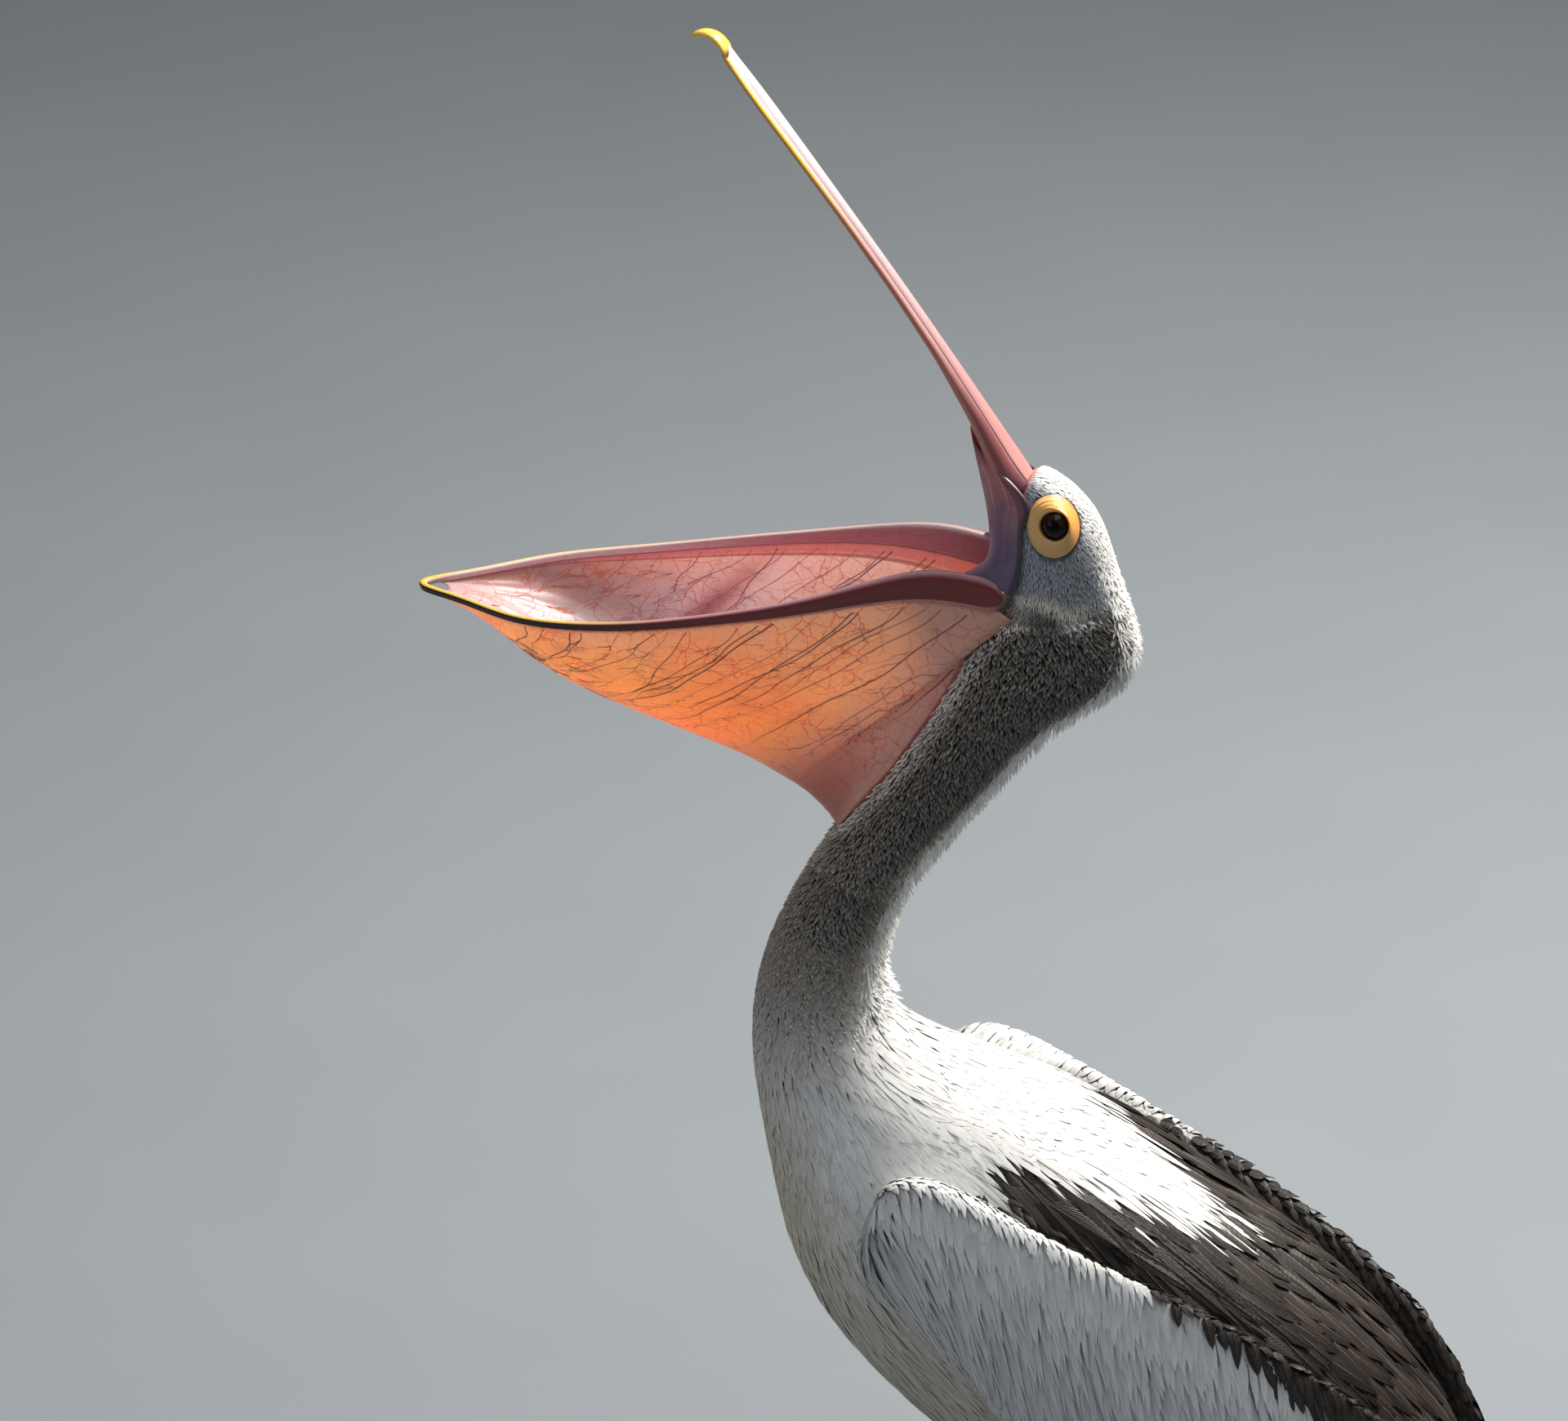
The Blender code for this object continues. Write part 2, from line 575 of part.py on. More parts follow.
def foot_reach(heading):
    """Distance from the pad to the foot's edge: toe tips with scalloped webs between them."""
    first, last = TOES[0][0] - OUTER_TOE_SIDES[0], TOES[-1][0] + OUTER_TOE_SIDES[1]
    if heading < first or heading > last:
        return HEEL_RADIUS
    headings = [first] + [toe[0] for toe in TOES] + [last]
    reaches = [HEEL_RADIUS] + [toe[1] for toe in TOES] + [HEEL_RADIUS]
    straight = np.interp(heading, headings, reaches)
    nearest = min(abs(heading - toe[0]) for toe in TOES)
    if not TOES[0][0] < heading < TOES[-1][0]:
        return straight
    return straight * (1.0 - SCALLOP * math.sin(min(nearest / SCALLOP_WIDTH, 1.0) * math.pi / 2.0))


def foot_height(far, heading):
    """Height of the foot at a distance and heading from its pad: web, toes and ankle pad."""
    bulge = 0.0
    for toe, length in TOES:
        off = far * abs(math.sin(math.radians(heading - toe)))
        if abs(heading - toe) < 60.0:
            taper = 1.0 - TOE_TAPER * far / length
            bulge = max(bulge, TOE_HIGH * taper * math.exp(-(off / TOE_WIDTH) ** 2))
    pad = (FOOT_PAD_HEIGHT - GAP) / (1.0 + math.exp((far - PAD_RADIUS) / PAD_SLOPE))
    return max(WEB_THICK + bulge, pad)


def build_foot(side, sign):
    """Webbed foot: a flat sole under four toes that swell out of the web."""
    headings = np.linspace(-180.0, 180.0, FOOT_HEADINGS, endpoint=False)
    headings = np.sort(np.concatenate([headings, [toe[0] for toe in TOES]]))
    points = [(0.0, 0.0, FOOT_PAD_HEIGHT - GAP)]
    for step in range(1, FOOT_STEPS + 1):
        for heading in headings:
            far = foot_reach(heading) * step / FOOT_STEPS
            turn = math.radians(heading)
            x, y = far * math.sin(turn) * sign, -far * math.cos(turn)
            points.append((x, y, foot_height(far, heading)))
    total = len(headings)
    points += [(x, y, 0.0) for x, y, _ in points[-total:]]
    place = np.array([FOOT_AT[0] * sign, FOOT_AT[1], SOLE])
    faces = [(0, 1 + j, 1 + (j + 1) % total) for j in range(total)]
    for i in range(FOOT_STEPS):
        for j in range(total):
            k = (j + 1) % total
            a, b = 1 + i * total, 1 + (i + 1) * total
            faces.append((a + j, b + j, b + k, a + k))
    sole = 1 + FOOT_STEPS * total
    faces.append(tuple(range(sole, sole + total)))
    foot = mesh_object("foot_" + side, np.array(points) + place, faces)
    return finish(foot, SLATE, 0.6)


def build_claws(side, sign):
    for number, (heading, length) in enumerate(TOES, start=1):
        turn = math.radians(heading)
        way = np.array([math.sin(turn) * sign, -math.cos(turn), 0.0])
        start = np.array([FOOT_AT[0] * sign, FOOT_AT[1], SOLE]) + way * (length + GAP)
        rings = []
        side_way = np.array([-way[1], way[0], 0.0])
        angles = np.linspace(0.0, 2.0 * math.pi, 6, endpoint=False)
        for f in (0.0, 0.5, 1.0):
            radius = CLAW_RADII[0] * (1.0 - f) ** 0.8 + CLAW_RADII[1]
            middle = start + way * CLAW_LENGTH * f
            middle[2] += CLAW_LIFT - CLAW_HOOK * f * f
            rings.append(middle + np.cos(angles)[:, None] * side_way * radius
                         + np.sin(angles)[:, None] * np.array([0.0, 0.0, 1.0]) * radius)
        finish(loft("claw_%s_%d" % (side, number), rings), BLACK, 0.4)


# Feathered thigh above the hock: y and z from the hock, half width, half length.
THIGH = [(-0.010, 0.085, 0.040, 0.056), (-0.004, 0.055, 0.033, 0.044),
         (0.0, 0.020, 0.019, 0.024), (0.0, GAP, 0.014, 0.017)]
# Bare leg: share of the way from the hock to the foot's pad, half width, half length.
TARSUS = [(0.0, 0.0110, 0.0135), (0.12, 0.0105, 0.0125), (0.3, 0.0072, 0.0092),
          (0.7, 0.0068, 0.0088), (0.9, 0.0090, 0.0100), (1.0, 0.0100, 0.0110)]


def build_leg(side, sign, body_room):
    mirror = np.array([sign, 1.0, 1.0])
    path = [(HOCK + [0.0, y, z]) * mirror for y, z, _, _ in THIGH]
    thigh = tube("thigh_" + side, path, [row[2:4] for row in THIGH], 16)
    cut(finish(thigh, WHITE, 0.8), body_room)
    foot_top = np.array([FOOT_AT[0], FOOT_AT[1], SOLE + FOOT_PAD_HEIGHT])
    path = [(HOCK + (foot_top - HOCK) * row[0]) * mirror for row in TARSUS]
    finish(tube("tarsus_" + side, path, [row[1:3] for row in TARSUS]), SLATE, 0.6)
    build_foot(side, sign)
    build_claws(side, sign)


# ---------------------------------------------------------------- run of the whole model
def main():
    global MODEL, CUTTERS
    for obj in list(bpy.data.objects):
        bpy.data.objects.remove(obj)
    MODEL = bpy.data.collections.new("pelican")
    CUTTERS = bpy.data.collections.new("cutters")
    bpy.context.scene.collection.children.link(MODEL)
    bpy.context.scene.collection.children.link(CUTTERS)
    flesh = build_flesh()
    tail = build_tail()
    bill = build_upper_bill()
    build_jaw()
    head_room = flesh_room("head_room", 0, 3)
    body_room = flesh_room("body_room", 4, 6)
    bill_room = as_cutter(loft("bill_room", bill_rings(-BILL_INTO_HEAD, 1.0, BILL_STEPS, GAP)))
    cut(bill, head_room)
    build_pouch(head_room)
    for side, sign in LEFT_RIGHT:
        room = build_wings(side, sign)
        for name in ("breast", "trunk"):
            cut(flesh[name], room)
        cut(tail, room)
        part = jaw_parts()[0 if sign > 0.0 else 2]
        jaw_room = as_cutter(loft("jaw_room_" + side, room_rings([part], jaw_rings)))
        build_gape(side, sign, [head_room, bill_room, jaw_room])
        ring_room, eye_room = build_eye(side, sign)
        cut(flesh["head"], ring_room, eye_room)
        build_leg(side, sign, body_room)


main()
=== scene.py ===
# %% [markdown]
# # A pelican gaping at the sky
# This lesson dresses a still, life-size model of an Australian pelican. The bird stands with its
# neck drawn back into an S, its long bill wide open and its skin pouch stretched between the bars
# of the lower jaw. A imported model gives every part's place. It is loaded first and never moved:
# each cell below makes one part's real surface round it.

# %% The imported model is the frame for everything
import math

import bmesh
import bpy
import numpy as np
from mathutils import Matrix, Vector


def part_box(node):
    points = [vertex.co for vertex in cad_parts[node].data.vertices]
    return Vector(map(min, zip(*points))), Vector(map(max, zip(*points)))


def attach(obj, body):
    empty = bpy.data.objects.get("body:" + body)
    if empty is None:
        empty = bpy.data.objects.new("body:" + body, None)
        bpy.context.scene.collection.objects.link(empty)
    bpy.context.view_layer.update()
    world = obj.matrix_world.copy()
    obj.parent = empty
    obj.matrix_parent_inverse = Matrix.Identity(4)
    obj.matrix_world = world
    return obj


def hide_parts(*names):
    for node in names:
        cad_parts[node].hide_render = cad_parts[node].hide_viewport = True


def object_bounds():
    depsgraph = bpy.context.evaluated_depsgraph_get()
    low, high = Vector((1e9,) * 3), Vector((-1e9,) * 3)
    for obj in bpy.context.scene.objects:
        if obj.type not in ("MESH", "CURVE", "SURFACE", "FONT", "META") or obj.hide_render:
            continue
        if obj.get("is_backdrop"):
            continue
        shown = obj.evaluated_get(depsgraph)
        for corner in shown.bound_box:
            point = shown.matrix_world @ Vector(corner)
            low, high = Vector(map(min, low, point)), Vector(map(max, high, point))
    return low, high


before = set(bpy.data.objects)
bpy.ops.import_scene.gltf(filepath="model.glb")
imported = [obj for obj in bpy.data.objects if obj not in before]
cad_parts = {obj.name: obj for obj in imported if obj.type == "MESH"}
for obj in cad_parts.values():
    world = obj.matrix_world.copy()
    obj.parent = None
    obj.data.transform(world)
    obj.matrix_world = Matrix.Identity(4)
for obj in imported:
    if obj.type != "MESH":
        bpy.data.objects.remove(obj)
cad_low, cad_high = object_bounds()
print("nodes in the frame:", len(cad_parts))

# %% [markdown]
# ## One place to measure from
# Body, bill and pouch all meet at the throat, so the tables below give places from there. The
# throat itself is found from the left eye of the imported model, which it lies behind and below.

# %% The throat, worked out from the left eye
eye_low, eye_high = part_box("eye_left")
EYE_FROM_THROAT = np.array([0.0251, 0.2126, 0.1920])
THROAT = np.array((eye_low + eye_high) / 2.0) - EYE_FROM_THROAT
THROAT[0] = 0.0
FLOOR = -THROAT[2]
LEFT_RIGHT = (("left", 1.0), ("right", -1.0))
SIDEWAYS = np.array([1.0, 0.0, 0.0])
UPRIGHT = np.array([0.0, 0.0, 1.0])
print("throat at", THROAT.round(4))

# %% [markdown]
# ## Curves and soft steps
# A bird has no straight lines. A natural cubic spline runs through a few rows of numbers and reads
# smoothly between them, and a soft step blends one marking into the next. The left side is worked
# out and mirrored for the right.


# %% Spline, soft step, grids round a tube and other small helpers
def spline(rows, at):
    """Natural cubic spline through equally spaced rows: (1 4 1) bends = 6 second differences."""
    rows = np.asarray(rows, float)
    count = len(rows)
    inner = np.arange(1, count - 1)
    system = np.eye(count)
    system[inner, inner - 1] = 1.0
    system[inner, inner] = 4.0
    system[inner, inner + 1] = 1.0
    right = np.zeros_like(rows)
    right[1:-1] = 6.0 * (rows[:-2] - 2.0 * rows[1:-1] + rows[2:])
    bend = np.linalg.solve(system, right)
    at = np.atleast_1d(np.asarray(at, float))
    low = np.clip(at.astype(int), 0, count - 2)
    f = (at - low)[..., None]
    g = 1.0 - f
    return (g * rows[low] + f * rows[low + 1]
            + ((g ** 3 - g) * bend[low] + (f ** 3 - f) * bend[low + 1]) / 6.0)


def soft(value, low, high):
    """Soft step: 0 below low, 1 above high, 3t^2 - 2t^3 between."""
    t = np.clip((value - low) / (high - low), 0.0, 1.0)
    return t * t * (3.0 - 2.0 * t)


def between(rows, at):
    """Value on straight lines between rows of a place and its value."""
    return np.interp(at, *np.transpose(rows))


def bell(value, middle, width):
    """Bell curve: exp(-((value - middle) / width)^2)."""
    return np.exp(-((value - middle) / width) ** 2)


def signed_power(value, power):
    """Power that keeps the sign, which squares a circle's corners."""
    return np.sign(value) * np.abs(value) ** power


def unit(vectors):
    """Vectors made one long."""
    return vectors / np.maximum(np.linalg.norm(vectors, axis=-1, keepdims=True), 1e-12)


def wrapped(angle):
    """The same angle between -180 and 180 degrees."""
    return (angle + math.pi) % (2.0 * math.pi) - math.pi


def mirrored(points, side):
    """Points of the left side: as they are for side 1, on the right for side -1."""
    return points * np.array([side, 1.0, 1.0])


def around(first, last, rows, sides):
    """Grid of stations from first to last, and of angles once round."""
    turn = np.linspace(0.0, 2.0 * math.pi, sides, endpoint=False)
    return np.meshgrid(np.linspace(first, last, rows), turn, indexing="ij")


def ripple(x, y, seed=0.0):
    """Soft waves without a repeat that shows, from -1 to 1: a sum of five sines."""
    total = np.zeros(np.broadcast(x, y).shape)
    for k in range(1, 6):
        turn = seed + 2.4 * k
        way = x * math.cos(turn) + y * math.sin(turn)
        total = total + np.sin(way * (0.7 + 0.45 * k) + 1.7 * turn) / 5.0
    return total


# %% [markdown]
# ## The bird's body as one surface
# From the bill's base to the tail's root the body is a bent tube. Eighteen stations give its back
# line, its front line, its half width and how square its halves are. A place on it has two numbers:
# the station, and the angle round it, which is 0 on the front, 90 degrees on the left and 180 on
# the back. Everything that grows on the bird is placed with these two numbers.

# %% Stations of head, neck and trunk
# Back y, z; front y, z; half width; how square the front half and the back half are.
STATIONS = {
    "bill_base": (0.187, 0.221, 0.183, 0.194, 0.0200, 3.0, 2.2),
    "forehead": (0.204, 0.220, 0.178, 0.174, 0.0260, 3.2, 2.2),
    "crown": (0.237, 0.190, 0.176, 0.138, 0.0325, 3.4, 2.1),
    "nape": (0.258, 0.131, 0.167, 0.114, 0.0345, 3.0, 2.0),
    "crest": (0.264, 0.067, 0.140, 0.086, 0.0375, 2.6, 2.0),
    "neck_1": (0.215, 0.020, 0.127, 0.056, 0.0390, 2.2, 2.0),
    "neck_2": (0.167, -0.037, 0.094, -0.004, 0.0380, 2.0, 2.0),
    "neck_3": (0.120, -0.101, 0.052, -0.074, 0.0365, 2.0, 2.0),
    "neck_4": (0.086, -0.162, 0.011, -0.148, 0.0380, 2.0, 2.0),
    "neck_5": (0.077, -0.218, -0.018, -0.224, 0.0430, 2.0, 2.0),
    "neck_6": (0.096, -0.256, -0.023, -0.300, 0.0530, 2.0, 2.0),
    "collar": (0.146, -0.282, -0.010, -0.375, 0.0740, 2.1, 2.2),
    "shoulder": (0.222, -0.312, 0.016, -0.470, 0.0960, 2.2, 2.6),
    "breast": (0.300, -0.360, 0.084, -0.562, 0.1090, 2.2, 2.8),
    "belly": (0.400, -0.428, 0.210, -0.654, 0.1090, 2.2, 3.0),
    "flank": (0.470, -0.486, 0.335, -0.690, 0.0960, 2.2, 2.8),
    "rump": (0.520, -0.545, 0.425, -0.676, 0.0760, 2.2, 2.6),
    "tail_root": (0.548, -0.596, 0.480, -0.660, 0.0520, 2.2, 2.4),
}
BODY_ROWS = np.array(list(STATIONS.values()))
LAST_STATION = len(STATIONS) - 1.0
# Depth of the coat of feathers over the skin: station, depth.
COAT_ROWS = [(0.0, 0.0008), (1.0, 0.0014), (3.0, 0.0024), (4.5, 0.0045), (6.5, 0.0045),
             (9.0, 0.0032), (11.0, 0.0030), (13.0, 0.0032), (17.0, 0.0040)]


def body(at, angle, grow=0.0):
    """Squared ellipse across the line from back to front: (sin^p, cos^p) times half sizes."""
    row = spline(BODY_ROWS, at)
    back, front = row[..., 0:2], row[..., 2:4]
    half = (front - back) / 2.0
    depth = np.linalg.norm(half, axis=-1)
    cosine, sine = np.cos(angle), np.sin(angle)
    power = np.where(cosine > 0.0, 2.0 / row[..., 5], 2.0 / row[..., 6])
    along = signed_power(cosine, power) * (1.0 + grow / depth)
    x = (row[..., 4] + grow) * signed_power(sine, power)
    flat = (back + front) / 2.0 + half * along[..., None]
    return np.concatenate([x[..., None], flat], axis=-1)


def coat_depth(at):
    """Depth of the feathers over the skin at a station."""
    return between(COAT_ROWS, at)


print("body stations:", len(STATIONS))

# %% [markdown]
# ## The folded wing as a surface
# A folded wing is a bulged slab. Its upper ridge is the forearm, and its lower edge is the tips of
# the flight feathers. The same two numbers place things on it: a station from the wrist to the tip,
# and an angle that is 0 on the ridge, 90 degrees on the outer face and 180 on the lower edge.

# %% Stations of the wing
# Ridge x, y, z; lower edge x, y, z; half thickness; how much more the outer face bulges.
WING_ROWS = np.array([
    (0.114, 0.097, -0.360, 0.114, 0.088, -0.382, 0.007, 0.000),
    (0.122, 0.112, -0.333, 0.122, 0.100, -0.420, 0.012, 0.003),
    (0.124, 0.150, -0.325, 0.126, 0.148, -0.458, 0.014, 0.005),
    (0.124, 0.207, -0.347, 0.128, 0.208, -0.522, 0.014, 0.006),
    (0.119, 0.275, -0.378, 0.122, 0.278, -0.585, 0.013, 0.007),
    (0.110, 0.364, -0.420, 0.112, 0.362, -0.634, 0.011, 0.007),
    (0.096, 0.455, -0.476, 0.096, 0.442, -0.664, 0.008, 0.006),
    (0.080, 0.520, -0.533, 0.078, 0.512, -0.682, 0.006, 0.004),
    (0.066, 0.558, -0.606, 0.062, 0.555, -0.692, 0.004, 0.002),
    (0.054, 0.576, -0.668, 0.053, 0.572, -0.696, 0.002, 0.000),
])
WING_INNER = 2.6            # the inner face bulges this many half thicknesses


def wing(at, angle, grow=0.0):
    """Left wing: ridge to edge times cosine, and the slab's half thickness times sine."""
    row = spline(WING_ROWS, at)
    ridge, edge = row[..., 0:3], row[..., 3:6]
    half = (ridge - edge) / 2.0
    length = np.linalg.norm(half, axis=-1, keepdims=True)
    up = half / length
    out = unit(np.cross(np.array([0.0, 1.0, 0.0]), up))
    sine = np.sin(angle)
    thick = np.where(sine > 0.0, row[..., 6] + row[..., 7], row[..., 6] * WING_INNER) + grow
    high = np.cos(angle)[..., None] * (length + np.asarray(grow)[..., None])
    return (ridge + edge) / 2.0 + up * high + out * (sine * thick)[..., None]


print("wing stations:", len(WING_ROWS))

# %% [markdown]
# ## From arrays to a mesh
# A surface is worked out as whole arrays and handed to Blender at once. A closed shape is turned
# right side out by the sign of its volume, so no face has to be thought about one by one.


# %% Grids, closed tubes and shells
def grid_faces(rows, columns, around):
    """Quads between the points of a grid; around joins the last column to the first."""
    i, j = np.meshgrid(np.arange(rows - 1), np.arange(columns - (0 if around else 1)), indexing="ij")
    first, second = i * columns + j, i * columns + (j + 1) % columns
    return np.stack([first, second, second + columns, first + columns], -1).reshape(-1, 4)


def end_fans(sides, first_ring, root, last_ring, tip):
    """Triangles that close a tube's two ends: from the first ring to root, from the last to tip."""
    j = np.arange(sides)
    k = (j + 1) % sides
    first = np.stack([np.full(sides, root), first_ring + k, first_ring + j], -1)
    last = np.stack([np.full(sides, tip), last_ring + j, last_ring + k], -1)
    return np.concatenate([first, last])


def with_ends(values):
    """Values of a tube's grid, then those of the two points that close its ends: the end rings' means."""
    values = np.asarray(values, float)
    ends = np.stack([values[0].mean(axis=0), values[-1].mean(axis=0)])
    return np.concatenate([values.reshape(-1, *values.shape[2:]), ends])


def closed_tube(rings):
    """Points and faces of a tube whose two ends are closed by fans round their middles."""
    rows, columns = rings.shape[:2]
    total = rows * columns
    fans = end_fans(columns, 0, total, total - columns, total + 1)
    return with_ends(rings), [grid_faces(rows, columns, True), fans]


def all_with_ends(**values):
    """Several named values of a tube's grid, each with its ends."""
    return {name: with_ends(value) for name, value in values.items()}


def horn_map(angle, along):
    """Map named horn: from 1 on one side of the section to 0 on the other, and the place along."""
    return {"horn": with_ends(np.stack([np.abs(angle / math.pi - 1.0), along], -1))}


def shell(points, wall):
    """A sheet's grid given a wall: two offset copies joined round the border, the outer one first."""
    rows, columns = points.shape[:2]
    along, across = np.gradient(points, axis=0), np.gradient(points, axis=1)
    normal = unit(np.cross(along, across))
    outer, inner = points + normal * wall / 2.0, points - normal * wall / 2.0
    total = rows * columns
    index = np.arange(total).reshape(rows, columns)
    border = np.concatenate([index[0, :-1], index[:-1, -1], index[-1, :0:-1], index[:0:-1, 0]])
    after = np.roll(border, -1)
    faces = grid_faces(rows, columns, False)
    side = np.stack([border, border + total, after + total, after], -1)
    every = np.concatenate([faces, faces[:, ::-1] + total, side])
    return np.concatenate([outer.reshape(-1, 3), inner.reshape(-1, 3)]), [every]


def loose_faces(faces):
    """All the faces as one row of corners, with each face's number of corners."""
    corners = np.concatenate([f.ravel() for f in faces])
    sizes = np.concatenate([np.full(len(f), f.shape[1]) for f in faces])
    return corners, sizes


def volume(points, faces):
    """Signed volume: a sixth of the sum of a.(b x c) over the fans of all faces."""
    total = 0.0
    for f in faces:
        for k in range(1, f.shape[1] - 1):
            a, b, c = points[f[:, 0]], points[f[:, k]], points[f[:, k + 1]]
            total += np.einsum("ij,ij->", a, np.cross(b, c)) / 6.0
    return total


def face_normals(points, faces):
    """Normal of each face: its two diagonals, or a triangle's two sides, crossed."""
    found = []
    for f in faces:
        p = points[f]
        ends = (2, 0, 3, 1) if f.shape[1] == 4 else (1, 0, 2, 1)
        a, b, c, d = [p[:, k] for k in ends]
        found.append(unit(np.cross(a - b, c - d)))
    return np.concatenate(found)


def make_mesh(name, points, faces, values=None, maps=None, lie=None, tops=None):
    """Mesh from arrays, smooth, faces outwards, with its attributes and UV maps.

    Lie is a normal for each point, which the faces marked as tops are shaded with.
    """
    if volume(points, faces) < 0.0:
        faces = [f[:, ::-1] for f in faces]
    corners, sizes = loose_faces(faces)
    mesh = bpy.data.meshes.new(name)
    mesh.vertices.add(len(points))
    mesh.vertices.foreach_set("co", (points + THROAT).astype(np.float32).ravel())
    mesh.loops.add(len(corners))
    mesh.loops.foreach_set("vertex_index", corners.astype(np.int32))
    mesh.polygons.add(len(sizes))
    starts = np.concatenate([[0], np.cumsum(sizes)[:-1]])
    mesh.polygons.foreach_set("loop_start", starts.astype(np.int32))
    mesh.update(calc_edges=True)
    mesh.shade_smooth()
    for key, value in (values or {}).items():
        value = np.asarray(value, np.float32)
        if value.ndim == 1:
            mesh.attributes.new(key, "FLOAT", "POINT").data.foreach_set("value", value)
        else:
            colour = np.ones((len(value), 4), np.float32)
            colour[:, :3] = value
            mesh.attributes.new(key, "FLOAT_COLOR", "POINT").data.foreach_set("color", colour.ravel())
    for key, value in (maps or {}).items():
        layer = mesh.uv_layers.new(name=key, do_init=False)
        layer.uv.foreach_set("vector", np.asarray(value, np.float32)[corners].ravel())
    if lie is not None:
        own = np.repeat(face_normals(points, faces), sizes, axis=0)
        shading = np.where(np.repeat(tops, sizes)[:, None], lie[corners], own)
        short = 0.2 - np.einsum("ij,ij->i", shading, own)
        mesh.normals_split_custom_set(unit(shading + own * np.maximum(short, 0.0)[:, None]))
    return mesh


def add_object(name, data):
    """Object linked into the scene."""
    thing = bpy.data.objects.new(name, data)
    bpy.context.scene.collection.objects.link(thing)
    return thing


def add_piece(name, points, faces, finish, slot, replaces=(), **layers):
    """Piece from arrays: it rides on the one body and takes its finish; its slot is not used."""
    mesh = make_mesh(name, points, faces, **layers)
    piece = add_object(name, mesh)
    mesh.materials.append(finish.material)
    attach(piece, "root")
    if replaces:
        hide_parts(*replaces)
    print(name, "faces:", len(mesh.polygons))


# %% [markdown]
# ## Finishes written as sums
# A material's nodes are easier to read as an expression. A Wire wraps one socket and turns the
# arithmetic signs into Math nodes, and a Finish holds one material and adds any node.


# %% Wires and finishes
class Wire:
    """One output socket: + - and * add Math nodes, and its methods the nodes that take one wire."""

    def __init__(self, finish, socket):
        self.finish, self.socket = finish, socket

    def math(self, operation, *values):
        """Math node of one or two values, each a wire or a number."""
        return self.finish.node("ShaderNodeMath", {"operation": operation}, values)

    def __add__(self, other):
        return self.math("ADD", self, other)

    def __sub__(self, other):
        return self.math("SUBTRACT", self, other)

    def __rsub__(self, other):
        return self.math("SUBTRACT", other, self)

    def __mul__(self, other):
        return self.math("MULTIPLY", self, other)

    def __abs__(self):
        return self.math("ABSOLUTE", self)

    __radd__ = __add__
    __rmul__ = __mul__

    def sine(self):
        """Sine of the wire, in radians."""
        return self.math("SINE", self)

    def step(self, low, high):
        """Soft step: 0 below low, 1 above high."""
        settings = {"interpolation_type": "SMOOTHSTEP"}
        return self.finish.node("ShaderNodeMapRange", settings, [self, low, high, 0.0, 1.0])

    def mix(self, first, second):
        """Two colours mixed, with this wire as the share of the second."""
        return self.finish.mix(self, first, second)

    def part(self, axis):
        """One of a vector's three numbers."""
        return self.finish.node("ShaderNodeSeparateXYZ", {}, [self], axis)

    def noise(self, scale, detail=2.0, output=0):
        """Noise at this place: a number, or a colour for output 1."""
        inputs = {"Vector": self, "Scale": scale, "Detail": detail}
        return self.finish.node("ShaderNodeTexNoise", {}, inputs, output)

    def cells(self, scale, feature="F1"):
        """Voronoi distance: to the nearest point, or to the nearest edge."""
        inputs = {"Vector": self, "Scale": scale}
        return self.finish.node("ShaderNodeTexVoronoi", {"feature": feature}, inputs)

    def shifted(self, other, amount):
        """This place moved by an amount of another vector: place + amount x other."""
        scaled = self.finish.node("ShaderNodeVectorMath", {"operation": "SCALE"}, {0: other, 3: amount})
        return self.finish.node("ShaderNodeVectorMath", {"operation": "ADD"}, [self, scaled])


class Finish:
    """One material: its shader's fixed values, and the nodes that vary over the surface."""

    def __init__(self, name, **fixed):
        self.material = bpy.data.materials.new(name)
        self.material.use_nodes = True
        self.tree = self.material.node_tree
        self.shader = self.tree.nodes["Principled BSDF"]
        for key, value in fixed.items():
            self.shader.inputs[key.replace("_", " ")].default_value = value

    def node(self, kind, settings=None, inputs=(), output=0):
        """Any node: its settings first, then the values or wires of its sockets."""
        node = self.tree.nodes.new(kind)
        for key, value in (settings or {}).items():
            setattr(node, key, value)
        pairs = inputs.items() if isinstance(inputs, dict) else enumerate(inputs)
        for key, value in pairs:
            if isinstance(value, Wire):
                self.tree.links.new(value.socket, node.inputs[key])
            else:
                node.inputs[key].default_value = value
        return Wire(self, node.outputs[output])

    def set(self, key, wire):
        """Feeds one of the shader's sockets."""
        self.tree.links.new(wire.socket, self.shader.inputs[key])

    def mix(self, factor, first, second):
        """Colours mixed by a factor; a colour is three numbers or a wire."""
        first, second = [c if isinstance(c, Wire) else (*c, 1.0) for c in (first, second)]
        return self.node("ShaderNodeMix", {"data_type": "RGBA"}, {0: factor, 6: first, 7: second}, 2)

    def value(self, name):
        """One of the piece's own numbers."""
        return self.node("ShaderNodeAttribute", {"attribute_name": name}, output=2)

    def colour(self, name):
        """One of the piece's own colours."""
        return self.node("ShaderNodeAttribute", {"attribute_name": name}, output=0)

    def place(self, scale=(1.0, 1.0, 1.0)):
        """Object coordinates, stretched along the axes."""
        spot = self.node("ShaderNodeTexCoord", output=3)
        return self.node("ShaderNodeMapping", {}, {0: spot, 3: scale})

    def map(self, name, scale=(1.0, 1.0, 1.0)):
        """The piece's own UV map, stretched along its axes."""
        spot = self.node("ShaderNodeUVMap", {"uv_map": name})
        return self.node("ShaderNodeMapping", {}, {0: spot, 3: scale})

    def relief(self, height, strength, distance):
        """Bump from a height, fed to the shader's normal."""
        inputs = {"Strength": strength, "Distance": distance, "Height": height}
        self.set("Normal", self.node("ShaderNodeBump", {}, inputs))


print("one wire and one finish defined")
